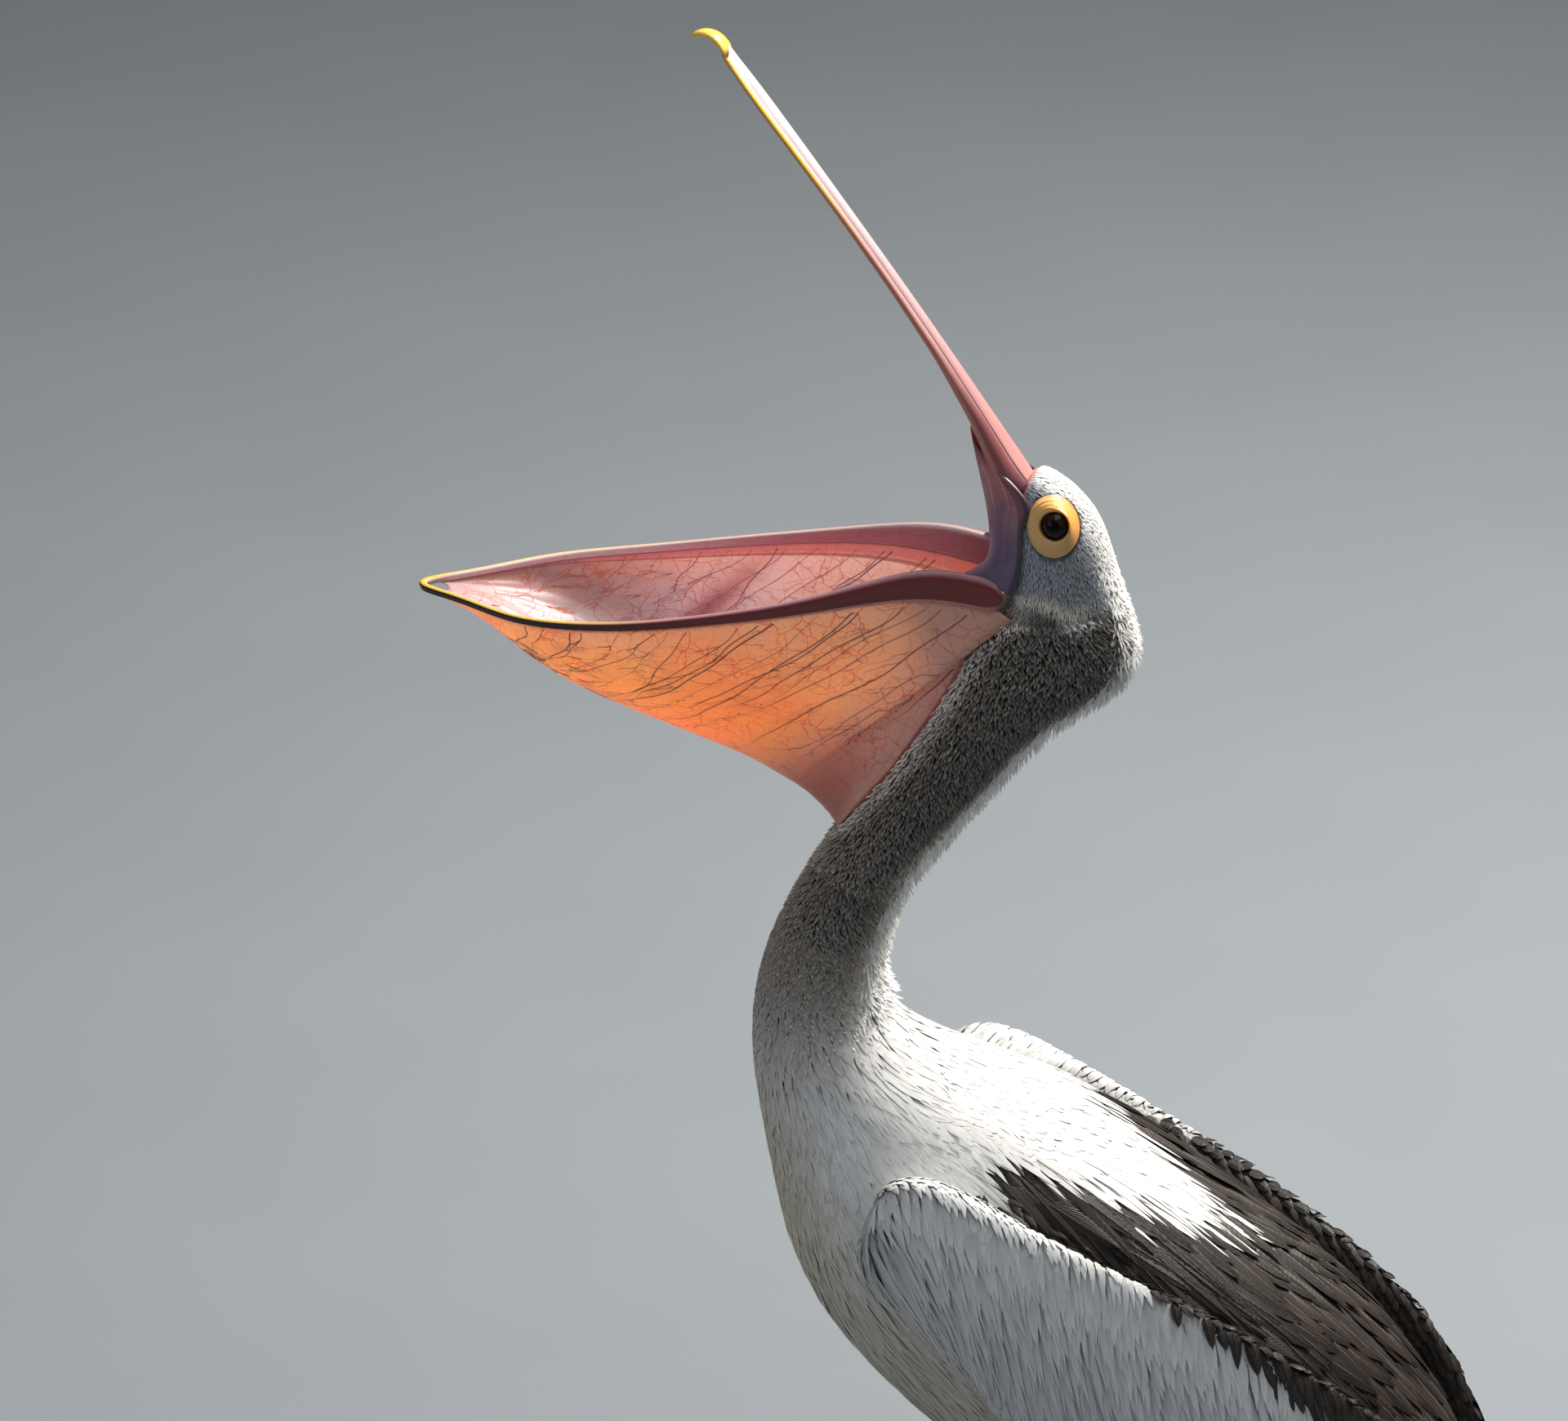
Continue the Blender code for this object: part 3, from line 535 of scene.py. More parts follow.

# %% [markdown]
# ## Markings
# Skin and feathers carry the same markings, so both ask one function for their colour. It reads the
# station and the angle: a white crown, a blue-grey face, a cream fold under the cheek, a neck dark
# partly from its grey and partly from painted shade, with a white fringe down its back, a white body
# that yellows on the breast, painted shade on the front of the breast and over the cream belly, and a
# black back behind the white cape on the shoulders.

# %% Colours of the plumage
WHITE = np.array([0.76, 0.755, 0.735])
FACE_GREY = np.array([0.40, 0.42, 0.45])
CHEEK_CREAM = np.array([0.84, 0.77, 0.64])
NECK_GREY_AND_SHADE = np.array([0.104, 0.090, 0.077])
NECK_EDGE = np.array([0.40, 0.355, 0.31])
BREAST_YELLOW = np.array([0.74, 0.66, 0.47])
BREAST_SHADE = np.array([0.57, 0.535, 0.47])
BELLY_CREAM_AND_SHADE = np.array([0.51, 0.465, 0.39])
BLACK_BROWN = np.array([0.021, 0.0165, 0.0135])
BARE_PINK = np.array([0.55, 0.26, 0.26])

POUCH_FIRST, POUCH_LAST = 3.10, 7.22        # stations where the pouch's edge runs down the neck
POUCH_ANGLE = math.radians(62.0)
# Feathers end on the face along a line: height, and how far back.
FACE_EDGE = [(0.100, 0.164), (0.121, 0.169), (0.135, 0.176), (0.153, 0.179),
             (0.171, 0.181), (0.189, 0.182), (0.208, 0.185), (0.223, 0.191)]
# The cream fold under the cheek: angle in degrees, and station.
CHEEK_FOLD = [(45, 2.30), (56, 2.42), (65, 2.52), (80, 2.60), (90, 2.78), (98, 2.96), (110, 3.03),
              (121, 3.0), (132, 2.9)]
# The dark of the neck ends on the nape's side along a line: station, and angle in degrees.
NECK_HIND = [(3.0, 174), (3.5, 162), (4.2, 151), (6.3, 146), (7.0, 138), (8.5, 138), (9.4, 126),
             (10.0, 105), (10.6, 85)]
# The white cape's hind edge: angle round the body in degrees, and station.
CAPE_EDGE = [(80, 25.0), (89, 11.75), (104, 11.70), (122, 11.95), (138, 12.10), (147, 12.38),
             (160, 12.80), (170, 13.15), (176, 13.50), (181, 13.25), (184, 12.70), (188, 12.30),
             (194, 12.03), (206, 11.95), (225, 11.95), (245, 11.82), (252, 11.88), (266, 12.2),
             (276, 25.0)]
# The wing's white coverts end here: angle in degrees, and station.
COVERT_EDGE = [(-180, 4.2), (-80, 3.4), (-55, 2.4), (-30, 2.7), (-12, 4.3), (4, 4.6), (20, 5.3),
               (34, 5.9), (60, 6.5), (90, 6.8), (130, 6.9), (180, 6.9)]


def pouch_border(at):
    """Angle of the pouch's edge on the neck: 62 degrees at the jaw, 36 below it, 0 at the apex."""
    down = np.clip((at - POUCH_FIRST) / (POUCH_LAST - POUCH_FIRST), 0.0, 1.0)
    below_jaw = np.radians(62.0 - 26.0 * soft(at, 3.05, 3.60))
    return np.minimum(POUCH_ANGLE * (1.0 - down) ** 0.35, below_jaw)


def blend(colour, other, share):
    """Colours mixed by a share for each place."""
    share = np.clip(share, 0.0, 1.0)[..., None]
    return colour * (1.0 - share) + other * share


def body_marking(at, angle):
    """Colour of the plumage at a place of the body."""
    turn = np.degrees(np.abs(wrapped(angle)))
    colour = np.broadcast_to(WHITE, (*at.shape, 3))
    fold = between(CHEEK_FOLD, turn)
    wander = 5.0 * ripple(at * 3.0, turn * 0.08, 1.0)
    colour = blend(colour, FACE_GREY, (1.0 - soft(turn + wander, 132, 156)) * (1.0 - soft(at, 3.2, 3.8)))
    hind = between(NECK_HIND, at) + wander
    fore = np.degrees(pouch_border(at))
    below_pouch = soft(at, 7.0, 8.0)
    front = (soft(turn, fore + 6.0, fore + 32.0) * (1.0 - below_pouch)
             + below_pouch * (0.45 + 0.55 * soft(turn, 15, 60)))
    neck = soft(at, fold + 0.07, fold + 0.34) * (1.0 - soft(at, 9.6, 11.2))
    sides = neck * (1.0 - soft(turn, hind, hind + 22.0)) * (1.0 - soft(at, 8.6, 10.4))
    colour = blend(colour, NECK_EDGE, sides)
    # The neck's dark is partly its grey plumage and partly painted shade on the neck's sides.
    dark = neck * front * (1.0 - soft(turn, hind - 16.0, hind + 8.0)) * (1.0 - 0.85 * soft(at, 6.4, 10.0))
    colour = blend(colour, NECK_GREY_AND_SHADE, dark)
    cheek = bell(at, fold, 0.14) * (1.0 - soft(turn, 112, 136)) * soft(turn, 44, 56)
    colour = blend(colour, CHEEK_CREAM, cheek)
    # Painted shade on the front of the breast.
    colour = blend(colour, BREAST_SHADE, soft(at, 9.4, 11.0) * (1.0 - soft(turn, 40, 92)))
    yellow = bell(at, 11.0, 1.1) * (1.0 - soft(turn, 14, 60))
    colour = blend(colour, BREAST_YELLOW, yellow * 0.8)
    # The belly's cream is partly its own colour and partly painted shade.
    colour = blend(colour, BELLY_CREAM_AND_SHADE, soft(at, 11.5, 13.5) * (1.0 - soft(turn, 70, 110)))
    return colour


def cape_edge(angle):
    """Station of the cape's hind edge at an angle."""
    return between(CAPE_EDGE, np.degrees(angle) % 360.0)


def covert_edge(angle):
    """Station where the wing's white coverts end."""
    return between(COVERT_EDGE, np.degrees(angle))


EYE_AT = np.array([0.0290, 0.2110, 0.1920])
EYE_FAR_OFF = np.array([0.0, -0.0025, -0.0068])     # the head is held a little tilted
SLIDE = unit(np.array([0.889, 0.173, 0.423]))
EYE_TILT, EYE_FORWARD = math.radians(12.0), math.radians(6.0)
RING_LONG, RING_HIGH = 0.0208, 0.0243


def eye_axes(side):
    """Outward, forward and upward axes of an eye: tilted in to the crown, turned to the front."""
    tilt, turn = -EYE_TILT * side, -EYE_FORWARD * side
    cosine, sine = math.cos(tilt), math.sin(tilt)
    tilted = np.array([[cosine, 0, sine], [0, 1, 0], [-sine, 0, cosine]])
    cosine, sine = math.cos(turn), math.sin(turn)
    turned = np.array([[cosine, -sine, 0], [sine, cosine, 0], [0, 0, 1]])
    return (tilted @ turned).T * np.array([[side], [1.0], [1.0]])


def eye_middle(side):
    """Middle of the left or the right eye."""
    return mirrored(EYE_AT, side) + EYE_FAR_OFF * (side < 0.0)


def ring_share(points):
    """How far a point is from the eye's middle, 1 being the bare ring's outline."""
    near = np.full(points.shape[:-1], 9.0)
    for _, side in LEFT_RIGHT:
        axes = eye_axes(side)
        slide = mirrored(SLIDE, side)
        off = points - eye_middle(side)
        deep = off @ axes[0]
        off = off - (deep / (slide @ axes[0]))[..., None] * slide
        round_eye = np.hypot(off @ axes[1] / RING_LONG, off @ axes[2] / RING_HIGH)
        near = np.where(np.abs(deep) < 0.026, np.minimum(near, round_eye), near)
    return near


def free_of_face(points):
    """True outside the eyes' bare rings and behind the bare corner of the mouth."""
    edge = between(FACE_EDGE, points[..., 2])
    return (ring_share(points) > 1.02) & ((points[..., 1] > edge - 0.001) | (points[..., 2] < 0.10))


def feathered(at, angle):
    """True where the head and neck have feathers: behind the face's edge and the pouch's border."""
    turn = np.abs(wrapped(angle))
    spot = body(at, angle)
    on_face = spot[..., 1] > between(FACE_EDGE, spot[..., 2]) + 0.0006
    on_neck = turn > np.minimum(pouch_border(at), math.radians(37.0)) + math.radians(0.5)
    return np.where(at < POUCH_FIRST, on_face, (at > POUCH_LAST) | on_neck)


print("colour of the crown:", body_marking(np.array([1.0]), np.array([math.pi])).round(2))

# %% [markdown]
# ## One skin under the coat
# Under the feathers lies one skin. The body, the wings and the thighs are made as closed tubes a
# coat's depth inside the outline, joined, and melted into one mesh by a voxel remesh, which keeps
# each part's markings. A few rounds of smoothing take the voxels' steps away.

# %% The legs' stations, and the tail's fan
HOCK = np.array([0.064, 0.322, -0.700])
# From the top down to the hock: y and z from the hock; half width, half depth.
THIGH_ROWS = np.array([(-0.010, 0.085, 0.040, 0.056), (-0.004, 0.055, 0.033, 0.044),
                       (0.0, 0.020, 0.019, 0.024), (0.0, 0.0004, 0.014, 0.017)])
TAIL_ROOT = np.array([0.0, 0.512, -0.626])
TAIL_DROP = math.radians(44.0)
TAIL_WAY = np.array([0.0, math.cos(TAIL_DROP), -math.sin(TAIL_DROP)])
TAIL_UP = np.array([0.0, math.sin(TAIL_DROP), math.cos(TAIL_DROP)])
TAIL_LENGTH, TAIL_WIDTH = 0.128, 0.078


def thigh(at, angle, grow=0.0):
    """Left thigh: level ellipses down to the hock."""
    row = spline(THIGH_ROWS, at)
    x = HOCK[0] + (row[..., 2] + grow) * np.cos(angle)
    y = HOCK[1] + row[..., 0] + (row[..., 3] + grow) * np.sin(angle)
    return np.stack([x, y, HOCK[2] + row[..., 1]], axis=-1)


def tail(at, across, grow=0.0):
    """Tail's fan: root + way along it + width to the side, with a slight roof to the middle."""
    width = TAIL_WIDTH * (0.60 + 0.40 * np.clip(at, 0.0, 1.0))
    side = width * across
    roof = 0.010 * (1.0 - across ** 2)
    return (TAIL_ROOT + TAIL_WAY * (TAIL_LENGTH * at)[..., None] + SIDEWAYS * side[..., None]
            + TAIL_UP * (roof + grow)[..., None])


print("tail's tip at", (TAIL_ROOT + TAIL_WAY * TAIL_LENGTH + THROAT).round(3))


# %% Tubes of flesh, and the skin that melts them together
# Painted shade: the skin is given the coat's colour, darkened as if shaded by the feathers over it.
SKIN_SHADE = 0.8            # the skin is darker than the coat over it
VOXEL = 0.0035


def flesh_part(surface, first, last, rows, sides, depth, marking, side=1.0):
    """Closed tube of flesh a depth inside a surface: points, faces and colours."""
    at, angle = around(first, last, rows, sides)
    points, faces = closed_tube(mirrored(surface(at, angle, -depth(at)), side))
    return points, faces, with_ends(marking(at, angle))


def skin_marking(at, angle):
    """The body's marking, bare pink where no feathers grow, black behind the cape."""
    colour = np.where(feathered(at, angle)[..., None], body_marking(at, angle) * SKIN_SHADE, BARE_PINK)
    return blend(colour, BLACK_BROWN, soft(at, cape_edge(angle) - 0.15, cape_edge(angle)))


def wing_marking(at, angle):
    """White in front, black on the flight feathers."""
    edge = covert_edge(wrapped(angle))
    return blend(thigh_marking(at, angle), BLACK_BROWN, soft(at, edge, edge + 0.3))


def thigh_marking(at, angle):
    """White all over."""
    return np.broadcast_to(WHITE * SKIN_SHADE, (*at.shape, 3))


def even_depth(depth):
    """The same depth at every station."""
    return lambda at: np.full(at.shape, depth)


parts = [flesh_part(body, 0.0, LAST_STATION, 300, 96, coat_depth, skin_marking)]
for _, side in LEFT_RIGHT:
    parts.append(flesh_part(wing, 0.05, 8.2, 90, 64, even_depth(0.004), wing_marking, side))
    parts.append(flesh_part(thigh, 0.0, 3.0, 24, 32, even_depth(0.002), thigh_marking, side))
skin_work = bmesh.new()
for points, faces, colours in parts:
    skin_work.from_mesh(make_mesh("flesh", points, faces, {"plumage": colours}))
skin_mesh = bpy.data.meshes.new("skin")
skin_work.to_mesh(skin_mesh)
skin_work.free()
skin = add_object("skin", skin_mesh)
skin_mesh.remesh_voxel_size = VOXEL
skin_mesh.use_remesh_preserve_attributes = True
with bpy.context.temp_override(object=skin, active_object=skin):
    bpy.ops.object.voxel_remesh()
settle = skin.modifiers.new("settle", "SMOOTH")
settle.factor, settle.iterations = 0.5, 6
graph = bpy.context.evaluated_depsgraph_get()
settled = bpy.data.meshes.new_from_object(skin.evaluated_get(graph))
skin.modifiers.clear()
skin.data = settled
settled.shade_smooth()
print("skin faces:", len(settled.polygons), "layers:", [a.name for a in settled.attributes])

# %% The skin's finish: pimpled where a feather sits
skin_finish = Finish("skin_under_feathers", Roughness=0.75)
pimples = skin_finish.place().cells(320.0)
shade = pimples.step(0.1, 0.7)
skin_finish.set("Base Color", (shade * 0.35).mix(skin_finish.colour("plumage"), (0.02, 0.02, 0.02)))
skin_finish.relief(pimples, 0.5, 0.001)
skin.data.materials.clear()
skin.data.materials.append(skin_finish.material)
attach(skin, "root")
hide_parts("head", "neck_upper", "neck_middle", "neck_lower", "breast", "trunk", "tail",
            "thigh_left", "thigh_right", "wing_arm_left", "wing_arm_right")

# %% [markdown]
# ## Even places for feathers
# Feathers stand close but never in rows. A running sum of the surface's area gives each place its
# share, and the R2 sequence (fractions of two plastic numbers) walks through those shares evenly,
# so that no two feathers crowd and none line up. The same walk comes out each time.


# %% Scatter places evenly over a surface
R2_FIRST, R2_SECOND = 0.7548776662466927, 0.5698402909980532


def scatter(surface, stations, angles, spacing, keep=None):
    """Stations and angles spaced evenly by area: each place stands for a square of the spacing."""
    at, angle = np.linspace(*stations, 181), np.linspace(*angles, 145)
    grid_at, grid_angle = np.meshgrid(at, angle, indexing="ij")
    spot = surface(grid_at, grid_angle, 0.0 * grid_at)
    corner = spot[:-1, :-1]
    area = np.linalg.norm(np.cross(spot[1:, :-1] - corner, spot[:-1, 1:] - corner), axis=-1)
    share = area / spacing ** 2
    if keep is not None:
        share = share * keep(grid_at[:-1, :-1], grid_angle[:-1, :-1])
    rows = share.sum(axis=1)
    count = int(rows.sum())
    k = np.arange(count)
    u, v = (0.5 + k * R2_FIRST) % 1.0, (0.5 + k * R2_SECOND) % 1.0
    running = np.concatenate([[0.0], np.cumsum(rows)]) / rows.sum()
    row = np.clip(np.searchsorted(running, u) - 1, 0, len(rows) - 1)
    past = (u - running[row]) / np.maximum(running[row + 1] - running[row], 1e-12)
    picked_at = at[row] + past * (at[1] - at[0])
    inside = np.concatenate([np.zeros((len(rows), 1)), np.cumsum(share, axis=1)], axis=1)
    inside = inside / np.maximum(inside[:, -1:], 1e-12)
    column = np.clip((inside[row] <= v[:, None]).sum(axis=1) - 1, 0, share.shape[1] - 1)
    left, right = inside[row, column], inside[row, column + 1]
    past = (v - left) / np.maximum(right - left, 1e-12)
    return picked_at, angle[column] + past * (angle[1] - angle[0])


luck = np.random.default_rng(7)
sample_at, _ = scatter(body, (0.0, 4.0), (-math.pi, math.pi), 0.01)
print("places 10 mm apart on the head:", len(sample_at))

# %% [markdown]
# ## Laying many feathers at once
# A feather here is a thin closed lens: a few cross sections along a line that follows the body,
# from a point at its root to a point at its tip. The line climbs out of the skin as it goes, so each
# feather lies over the roots of the next ones, as roof tiles do. All the feathers of one tract are
# worked out together as arrays.

# %% Outlines of feathers
# Each outline has rows of: share along the feather, share of its width, share of its thickness.
PLUSH = np.array([(0.30, 0.85, 1.0), (0.72, 0.80, 0.8)])
SILKY = np.array([(0.18, 0.60, 0.9), (0.50, 1.00, 1.0), (0.80, 0.62, 0.7)])
LANCE = np.array([(0.06, 0.35, 1.0), (0.22, 0.80, 1.0), (0.48, 1.00, 0.9), (0.72, 0.84, 0.8),
                  (0.90, 0.42, 0.6)])
QUILL = np.array([(0.03, 0.18, 1.0), (0.10, 0.55, 1.0), (0.22, 0.90, 1.0), (0.40, 1.00, 1.0),
                  (0.58, 1.00, 0.9), (0.74, 0.94, 0.8), (0.87, 0.74, 0.7), (0.95, 0.45, 0.6)])
LONG = np.array([(0.05, 0.30, 1.0), (0.16, 0.72, 1.0), (0.34, 1.00, 1.0), (0.60, 0.96, 0.9),
                 (0.80, 0.70, 0.8), (0.93, 0.32, 0.6)])
SPEAR = np.array([(0.15, 0.70, 1.0), (0.45, 1.00, 1.0), (0.70, 0.80, 0.8), (0.90, 0.34, 0.6)])
# Cross sections: sideways in half widths, up in thicknesses.
RIDGE = np.array([(-1.0, 0.0), (0.0, 1.0), (1.0, 0.0)])
SHAFTED = np.array([(-1.0, 0.0), (-0.55, 0.75), (-0.10, 0.9), (0.0, 1.9), (0.10, 0.9), (0.55, 0.75),
                    (1.0, 0.0), (0.0, -0.5)])


def slopes(surface, at, angle):
    """Change of the point with the station and with the angle, and the outward normal."""
    tiny = 0.001
    zero = 0.0 * at
    along = (surface(at + tiny, angle, zero) - surface(at - tiny, angle, zero)) / (2.0 * tiny)
    across = (surface(at, angle + tiny, zero) - surface(at, angle - tiny, zero)) / (2.0 * tiny)
    normal = unit(np.cross(along, across))
    out = surface(at, angle, zero + tiny) - surface(at, angle, zero)
    return along, across, normal * np.sign(np.einsum("...i,...i->...", normal, out))[..., None]


def toward(surface, at, angle, heading, length):
    """Change of station and angle that walks a length on a heading, 0 being tailward."""
    along, across, _ = slopes(surface, at, angle)
    return (np.cos(heading) * length / np.linalg.norm(along, axis=-1),
            np.sin(heading) * length / np.maximum(np.linalg.norm(across, axis=-1), 0.004))


def lay(surface, at, angle, run, width, thick, outline, low, high, section=RIDGE,
        rise=0.7, roll=0.0, sway=0.0, camber=0.12, soften=0.7):
    """Feathers laid on a surface: points, faces, which faces are tops, normals, and shares.

    Low and high are the heights of root and tip, and rise is the power of the climb between them.
    Sway bends a feather sideways, camber arches it, and roll turns it about its own line. The
    shading normal mixes the body's own with the feather's, which is what makes a coat of many thin
    pieces look like one soft surface.
    """
    count, rings, sides = len(at), len(outline), len(section)
    share = np.concatenate([[0.0], outline[:, 0], [1.0]])
    wide = np.concatenate([[0.0], outline[:, 1], [0.0]])
    fat = np.concatenate([[0.0], outline[:, 2], [0.0]])
    line_at = at[:, None] + run[0][:, None] * share
    line_angle = angle[:, None] + run[1][:, None] * share
    spot = surface(line_at, line_angle, 0.0 * line_at)
    normal = slopes(surface, line_at, line_angle)[2]
    low, high, roll, sway, width, thick = [np.broadcast_to(np.asarray(v, float), (count,))[:, None]
                                           for v in (low, high, roll, sway, width, thick)]
    spot = spot + normal * (low + (high - low) * share ** rise)[..., None]
    ahead = unit(np.gradient(spot, axis=1))
    length = np.linalg.norm(spot[:, -1] - spot[:, 0], axis=-1)[:, None]
    side = unit(np.cross(ahead, normal))
    wave = np.sin(math.pi * 1.4 * share + luck.uniform(0.0, 6.28, (count, 1)))
    spot = spot + side * (sway * length * wave * share)[..., None]
    up = unit(np.cross(side, ahead))
    side, up = (side * np.cos(roll)[..., None] + up * np.sin(roll)[..., None],
                up * np.cos(roll)[..., None] - side * np.sin(roll)[..., None])
    half = (width * wide / 2.0)[:, 1:-1, None]
    deep = (thick * fat)[:, 1:-1, None]
    x, z = section[:, 0], section[:, 1]
    rows = (spot[:, 1:-1, None] + side[:, 1:-1, None] * (half * x)[..., None]
            + up[:, 1:-1, None] * (deep * z - camber * half * x ** 2)[..., None])
    points = np.concatenate([spot[:, :1], rows.reshape(count, -1, 3), spot[:, -1:]], axis=1)
    lean = unit(up[:, 1:-1, None] + side[:, 1:-1, None] * (x * 0.7)[:, None])
    soft_normal = unit(soften * normal[:, 1:-1, None] + (1.0 - soften) * lean).reshape(count, -1, 3)
    lie = np.concatenate([normal[:, :1], soft_normal, normal[:, -1:]], axis=1)
    tip = 1 + rings * sides
    first = (np.arange(count) * (tip + 1))[:, None, None]
    quads = (grid_faces(rings, sides, True) + 1)[None] + first
    fans = end_fans(sides, 1, 0, tip - sides, tip)[None] + first
    along = np.concatenate([[0.0], np.repeat(outline[:, 0], sides), [1.0]])
    across = np.concatenate([[0.0], np.tile(x, rings), [0.0]])
    top = np.arange(sides) < np.argmax(x)
    tops = np.concatenate([np.tile(top, count * (rings - 1)), np.tile(top, count * 2)])
    faces = [quads.reshape(-1, 4), fans.reshape(-1, 3)]
    return points.reshape(-1, 3), faces, tops, lie.reshape(-1, 3), along, across


# On the OFBake map each feather is a small patch at its root's place.
ROOT_PATCH, MAP_EDGE, MAP_SIZE = 0.003, 0.02, 0.96
BODY_MAP_END, WING_MAP_END = 18.5, 10.0


def coat(name, ground, at, angle, colour, finish, slot, replaces=(), side=1.0, tone=(1.0, 1.0), **form):
    """One tract of feathers as a piece, with its colours and its two UV maps."""
    surface, unwrap = ground
    points, faces, tops, lie, along, across = lay(surface, at, angle, **form)
    count, each = len(at), len(along)
    # Painted shade: each feather is darker towards its root, where the feathers over it would shade it; on
    # the neck's plush the same factor also gives the plush its pale tips.
    root_shade_factor = np.tile(tone[0] + (tone[1] - tone[0]) * along, count)[:, None]
    tint = np.repeat(colour, each, axis=0) * root_shade_factor
    root = np.repeat(unwrap(at, angle), each, axis=0)
    patch = ROOT_PATCH * np.stack([np.tile(across / 2.0, count), np.tile(along - 0.5, count)], -1)
    vane = np.stack([np.tile(across * 0.5 + 0.5, count), np.tile(along, count)], -1)
    chance = np.repeat(luck.uniform(0.0, 1.0, count), each)
    print(name, "feathers:", count, "triangles:", len(faces[0]) * 2 + len(faces[1]))
    add_piece(name, mirrored(points, side), faces, finish, slot, replaces,
              values={"plumage": tint, "chance": chance}, maps={"OFBake": root + patch, "vane": vane},
              lie=mirrored(lie, side), tops=tops)


def body_unwrap(at, angle):
    """The body's own shape unrolled: the angle across, the station along."""
    turn = (angle / (2.0 * math.pi) + 0.5) % 1.0
    return np.stack([MAP_EDGE + MAP_SIZE * turn, MAP_EDGE + MAP_SIZE * at / BODY_MAP_END], -1)


def wing_unwrap(at, angle):
    """The wing's own shape unrolled."""
    turn = (angle / (2.0 * math.pi) + 0.25) % 1.0
    return np.stack([MAP_EDGE + MAP_SIZE * turn, MAP_EDGE + MAP_SIZE * at / WING_MAP_END], -1)


def tail_unwrap(at, across):
    """The tail's fan laid flat in the middle of the map."""
    return np.stack([0.5 + 0.4 * across, 0.5 + 0.2 * at], -1)


BODY, WING, TAIL, THIGH = (body, body_unwrap), (wing, wing_unwrap), (tail, tail_unwrap), (thigh, body_unwrap)


def varied(colour, amount):
    """Each feather's colour made a little lighter or darker."""
    return colour * (1.0 + amount * luck.uniform(-1.0, 1.0, (len(colour), 1)))


# %% [markdown]
# ## What feathers look like close up
# A small feather is soft and matt. A large one has a pale shaft down its middle, fine barbs that
# slant away from it, and a smooth sheen. Both finishes read the feather's own UV map, which is named
# vane: across it in x, from root to tip in y.

# %% Finishes of down and of vanes
down_finish = Finish("soft_down", Roughness=0.85, Sheen_Weight=0.06, Sheen_Roughness=0.5)
strand = down_finish.map("vane")
lift = strand.part(1)
streak = down_finish.map("vane", (5.0, 0.7, 1.0)).noise(3.0)
down_tint = down_finish.colour("plumage")
# Painted shade: each feather darkens towards its root, where the feathers over it would shade it; the
# streaks make its edge uneven.
down_root_shade = down_finish.mix(0.16, down_tint, (0.0, 0.0, 0.0))
down_finish.set("Base Color", (lift + streak * 0.25).step(0.1, 0.75).mix(down_root_shade, down_tint))

vane_finish = Finish("smooth_vane", Roughness=0.42, Specular_IOR_Level=0.40)
spread = vane_finish.map("vane")
aside = abs(spread.part(0) - 0.5)
lengthwise = spread.part(1)
barbs = (lengthwise * 110.0 - aside * 60.0 + vane_finish.value("chance") * 9.0).sine()
vane_tint = vane_finish.colour("plumage")
barred = (barbs.step(-0.6, 1.0) * 0.22).mix(vane_tint, (0.0, 0.0, 0.0))
shaft = (1.0 - aside.step(0.008, 0.028)) * (1.0 - lengthwise.step(0.55, 0.98))
vane_finish.set("Base Color", (shaft * 0.30).mix(barred, (0.40, 0.35, 0.30)))
vane_finish.relief(barbs, 0.35, 0.0004)
print("finishes so far:", len(bpy.data.materials))

# %% [markdown]
# ## Tracts of feathers
# Feathers grow in tracts, each with its own length, shape and lie. A tract below is one call: where
# it grows, how close the feathers stand, and their form. A form's number may be fixed, a pair to
# pick between, or a function of the place.


# %% Plant one tract, and the colours and headings that several tracts share
def asked(value, at, angle):
    """A fixed number, a pair picked between by luck, or a function of the place."""
    if callable(value):
        return value(at, angle)
    if isinstance(value, tuple):
        return luck.uniform(*value, len(at))
    return np.full(len(at), float(value))


def plant(name, ground, stations, angles, spacing, length, width, thick, lift, outline, colour, finish,
          slot, keep=None, clear=None, stop=None, heading=0.0, depth=0.004, twist=0.10, **rest):
    """Scatters a tract's roots, aims its feathers and makes them one piece.

    Clear tells which points are free, and a feather whose root or tip is not free is left out.
    Stop is the largest angle a tip may reach, so that none wraps round an edge.
    """
    surface = ground[0]
    at, angle = scatter(surface, stations, angles, spacing, keep)
    if clear is not None:
        ahead = toward(surface, at, angle, asked(heading, at, angle), asked(length, at, angle) * 0.75)
        tip = surface(at + ahead[0], angle + ahead[1], 0.0 * at)
        free = clear(surface(at, angle, 0.0 * at)) & clear(tip)
        at, angle = at[free], angle[free]
    run = toward(surface, at, angle, asked(heading, at, angle), asked(length, at, angle))
    if stop is not None:
        short = np.clip((stop - angle) / np.maximum(run[1], 1e-6), 0.0, 1.0)
        run = (run[0] * short, run[1] * short)
    form = {"run": run, "width": asked(width, at, angle), "thick": thick, "outline": outline,
            "low": -asked(depth, at, angle), "high": asked(lift, at, angle),
            "roll": luck.normal(0.0, twist, len(at))}
    coat(name, ground, at, angle, colour(at, angle), finish, slot, **form, **rest)


def angle_off(angle):
    """Angle from the front, 0 to 180 degrees, the same on both sides."""
    return np.degrees(np.abs(angle))


def wavering(amount, spread=0.15):
    """Heading that wanders in soft waves, so that locks form."""
    def heading(at, angle):
        """Waves and luck for each place."""
        return amount * ripple(at * 9.0, angle * 4.0, 2.0) + luck.normal(0.0, spread, len(at))
    return heading


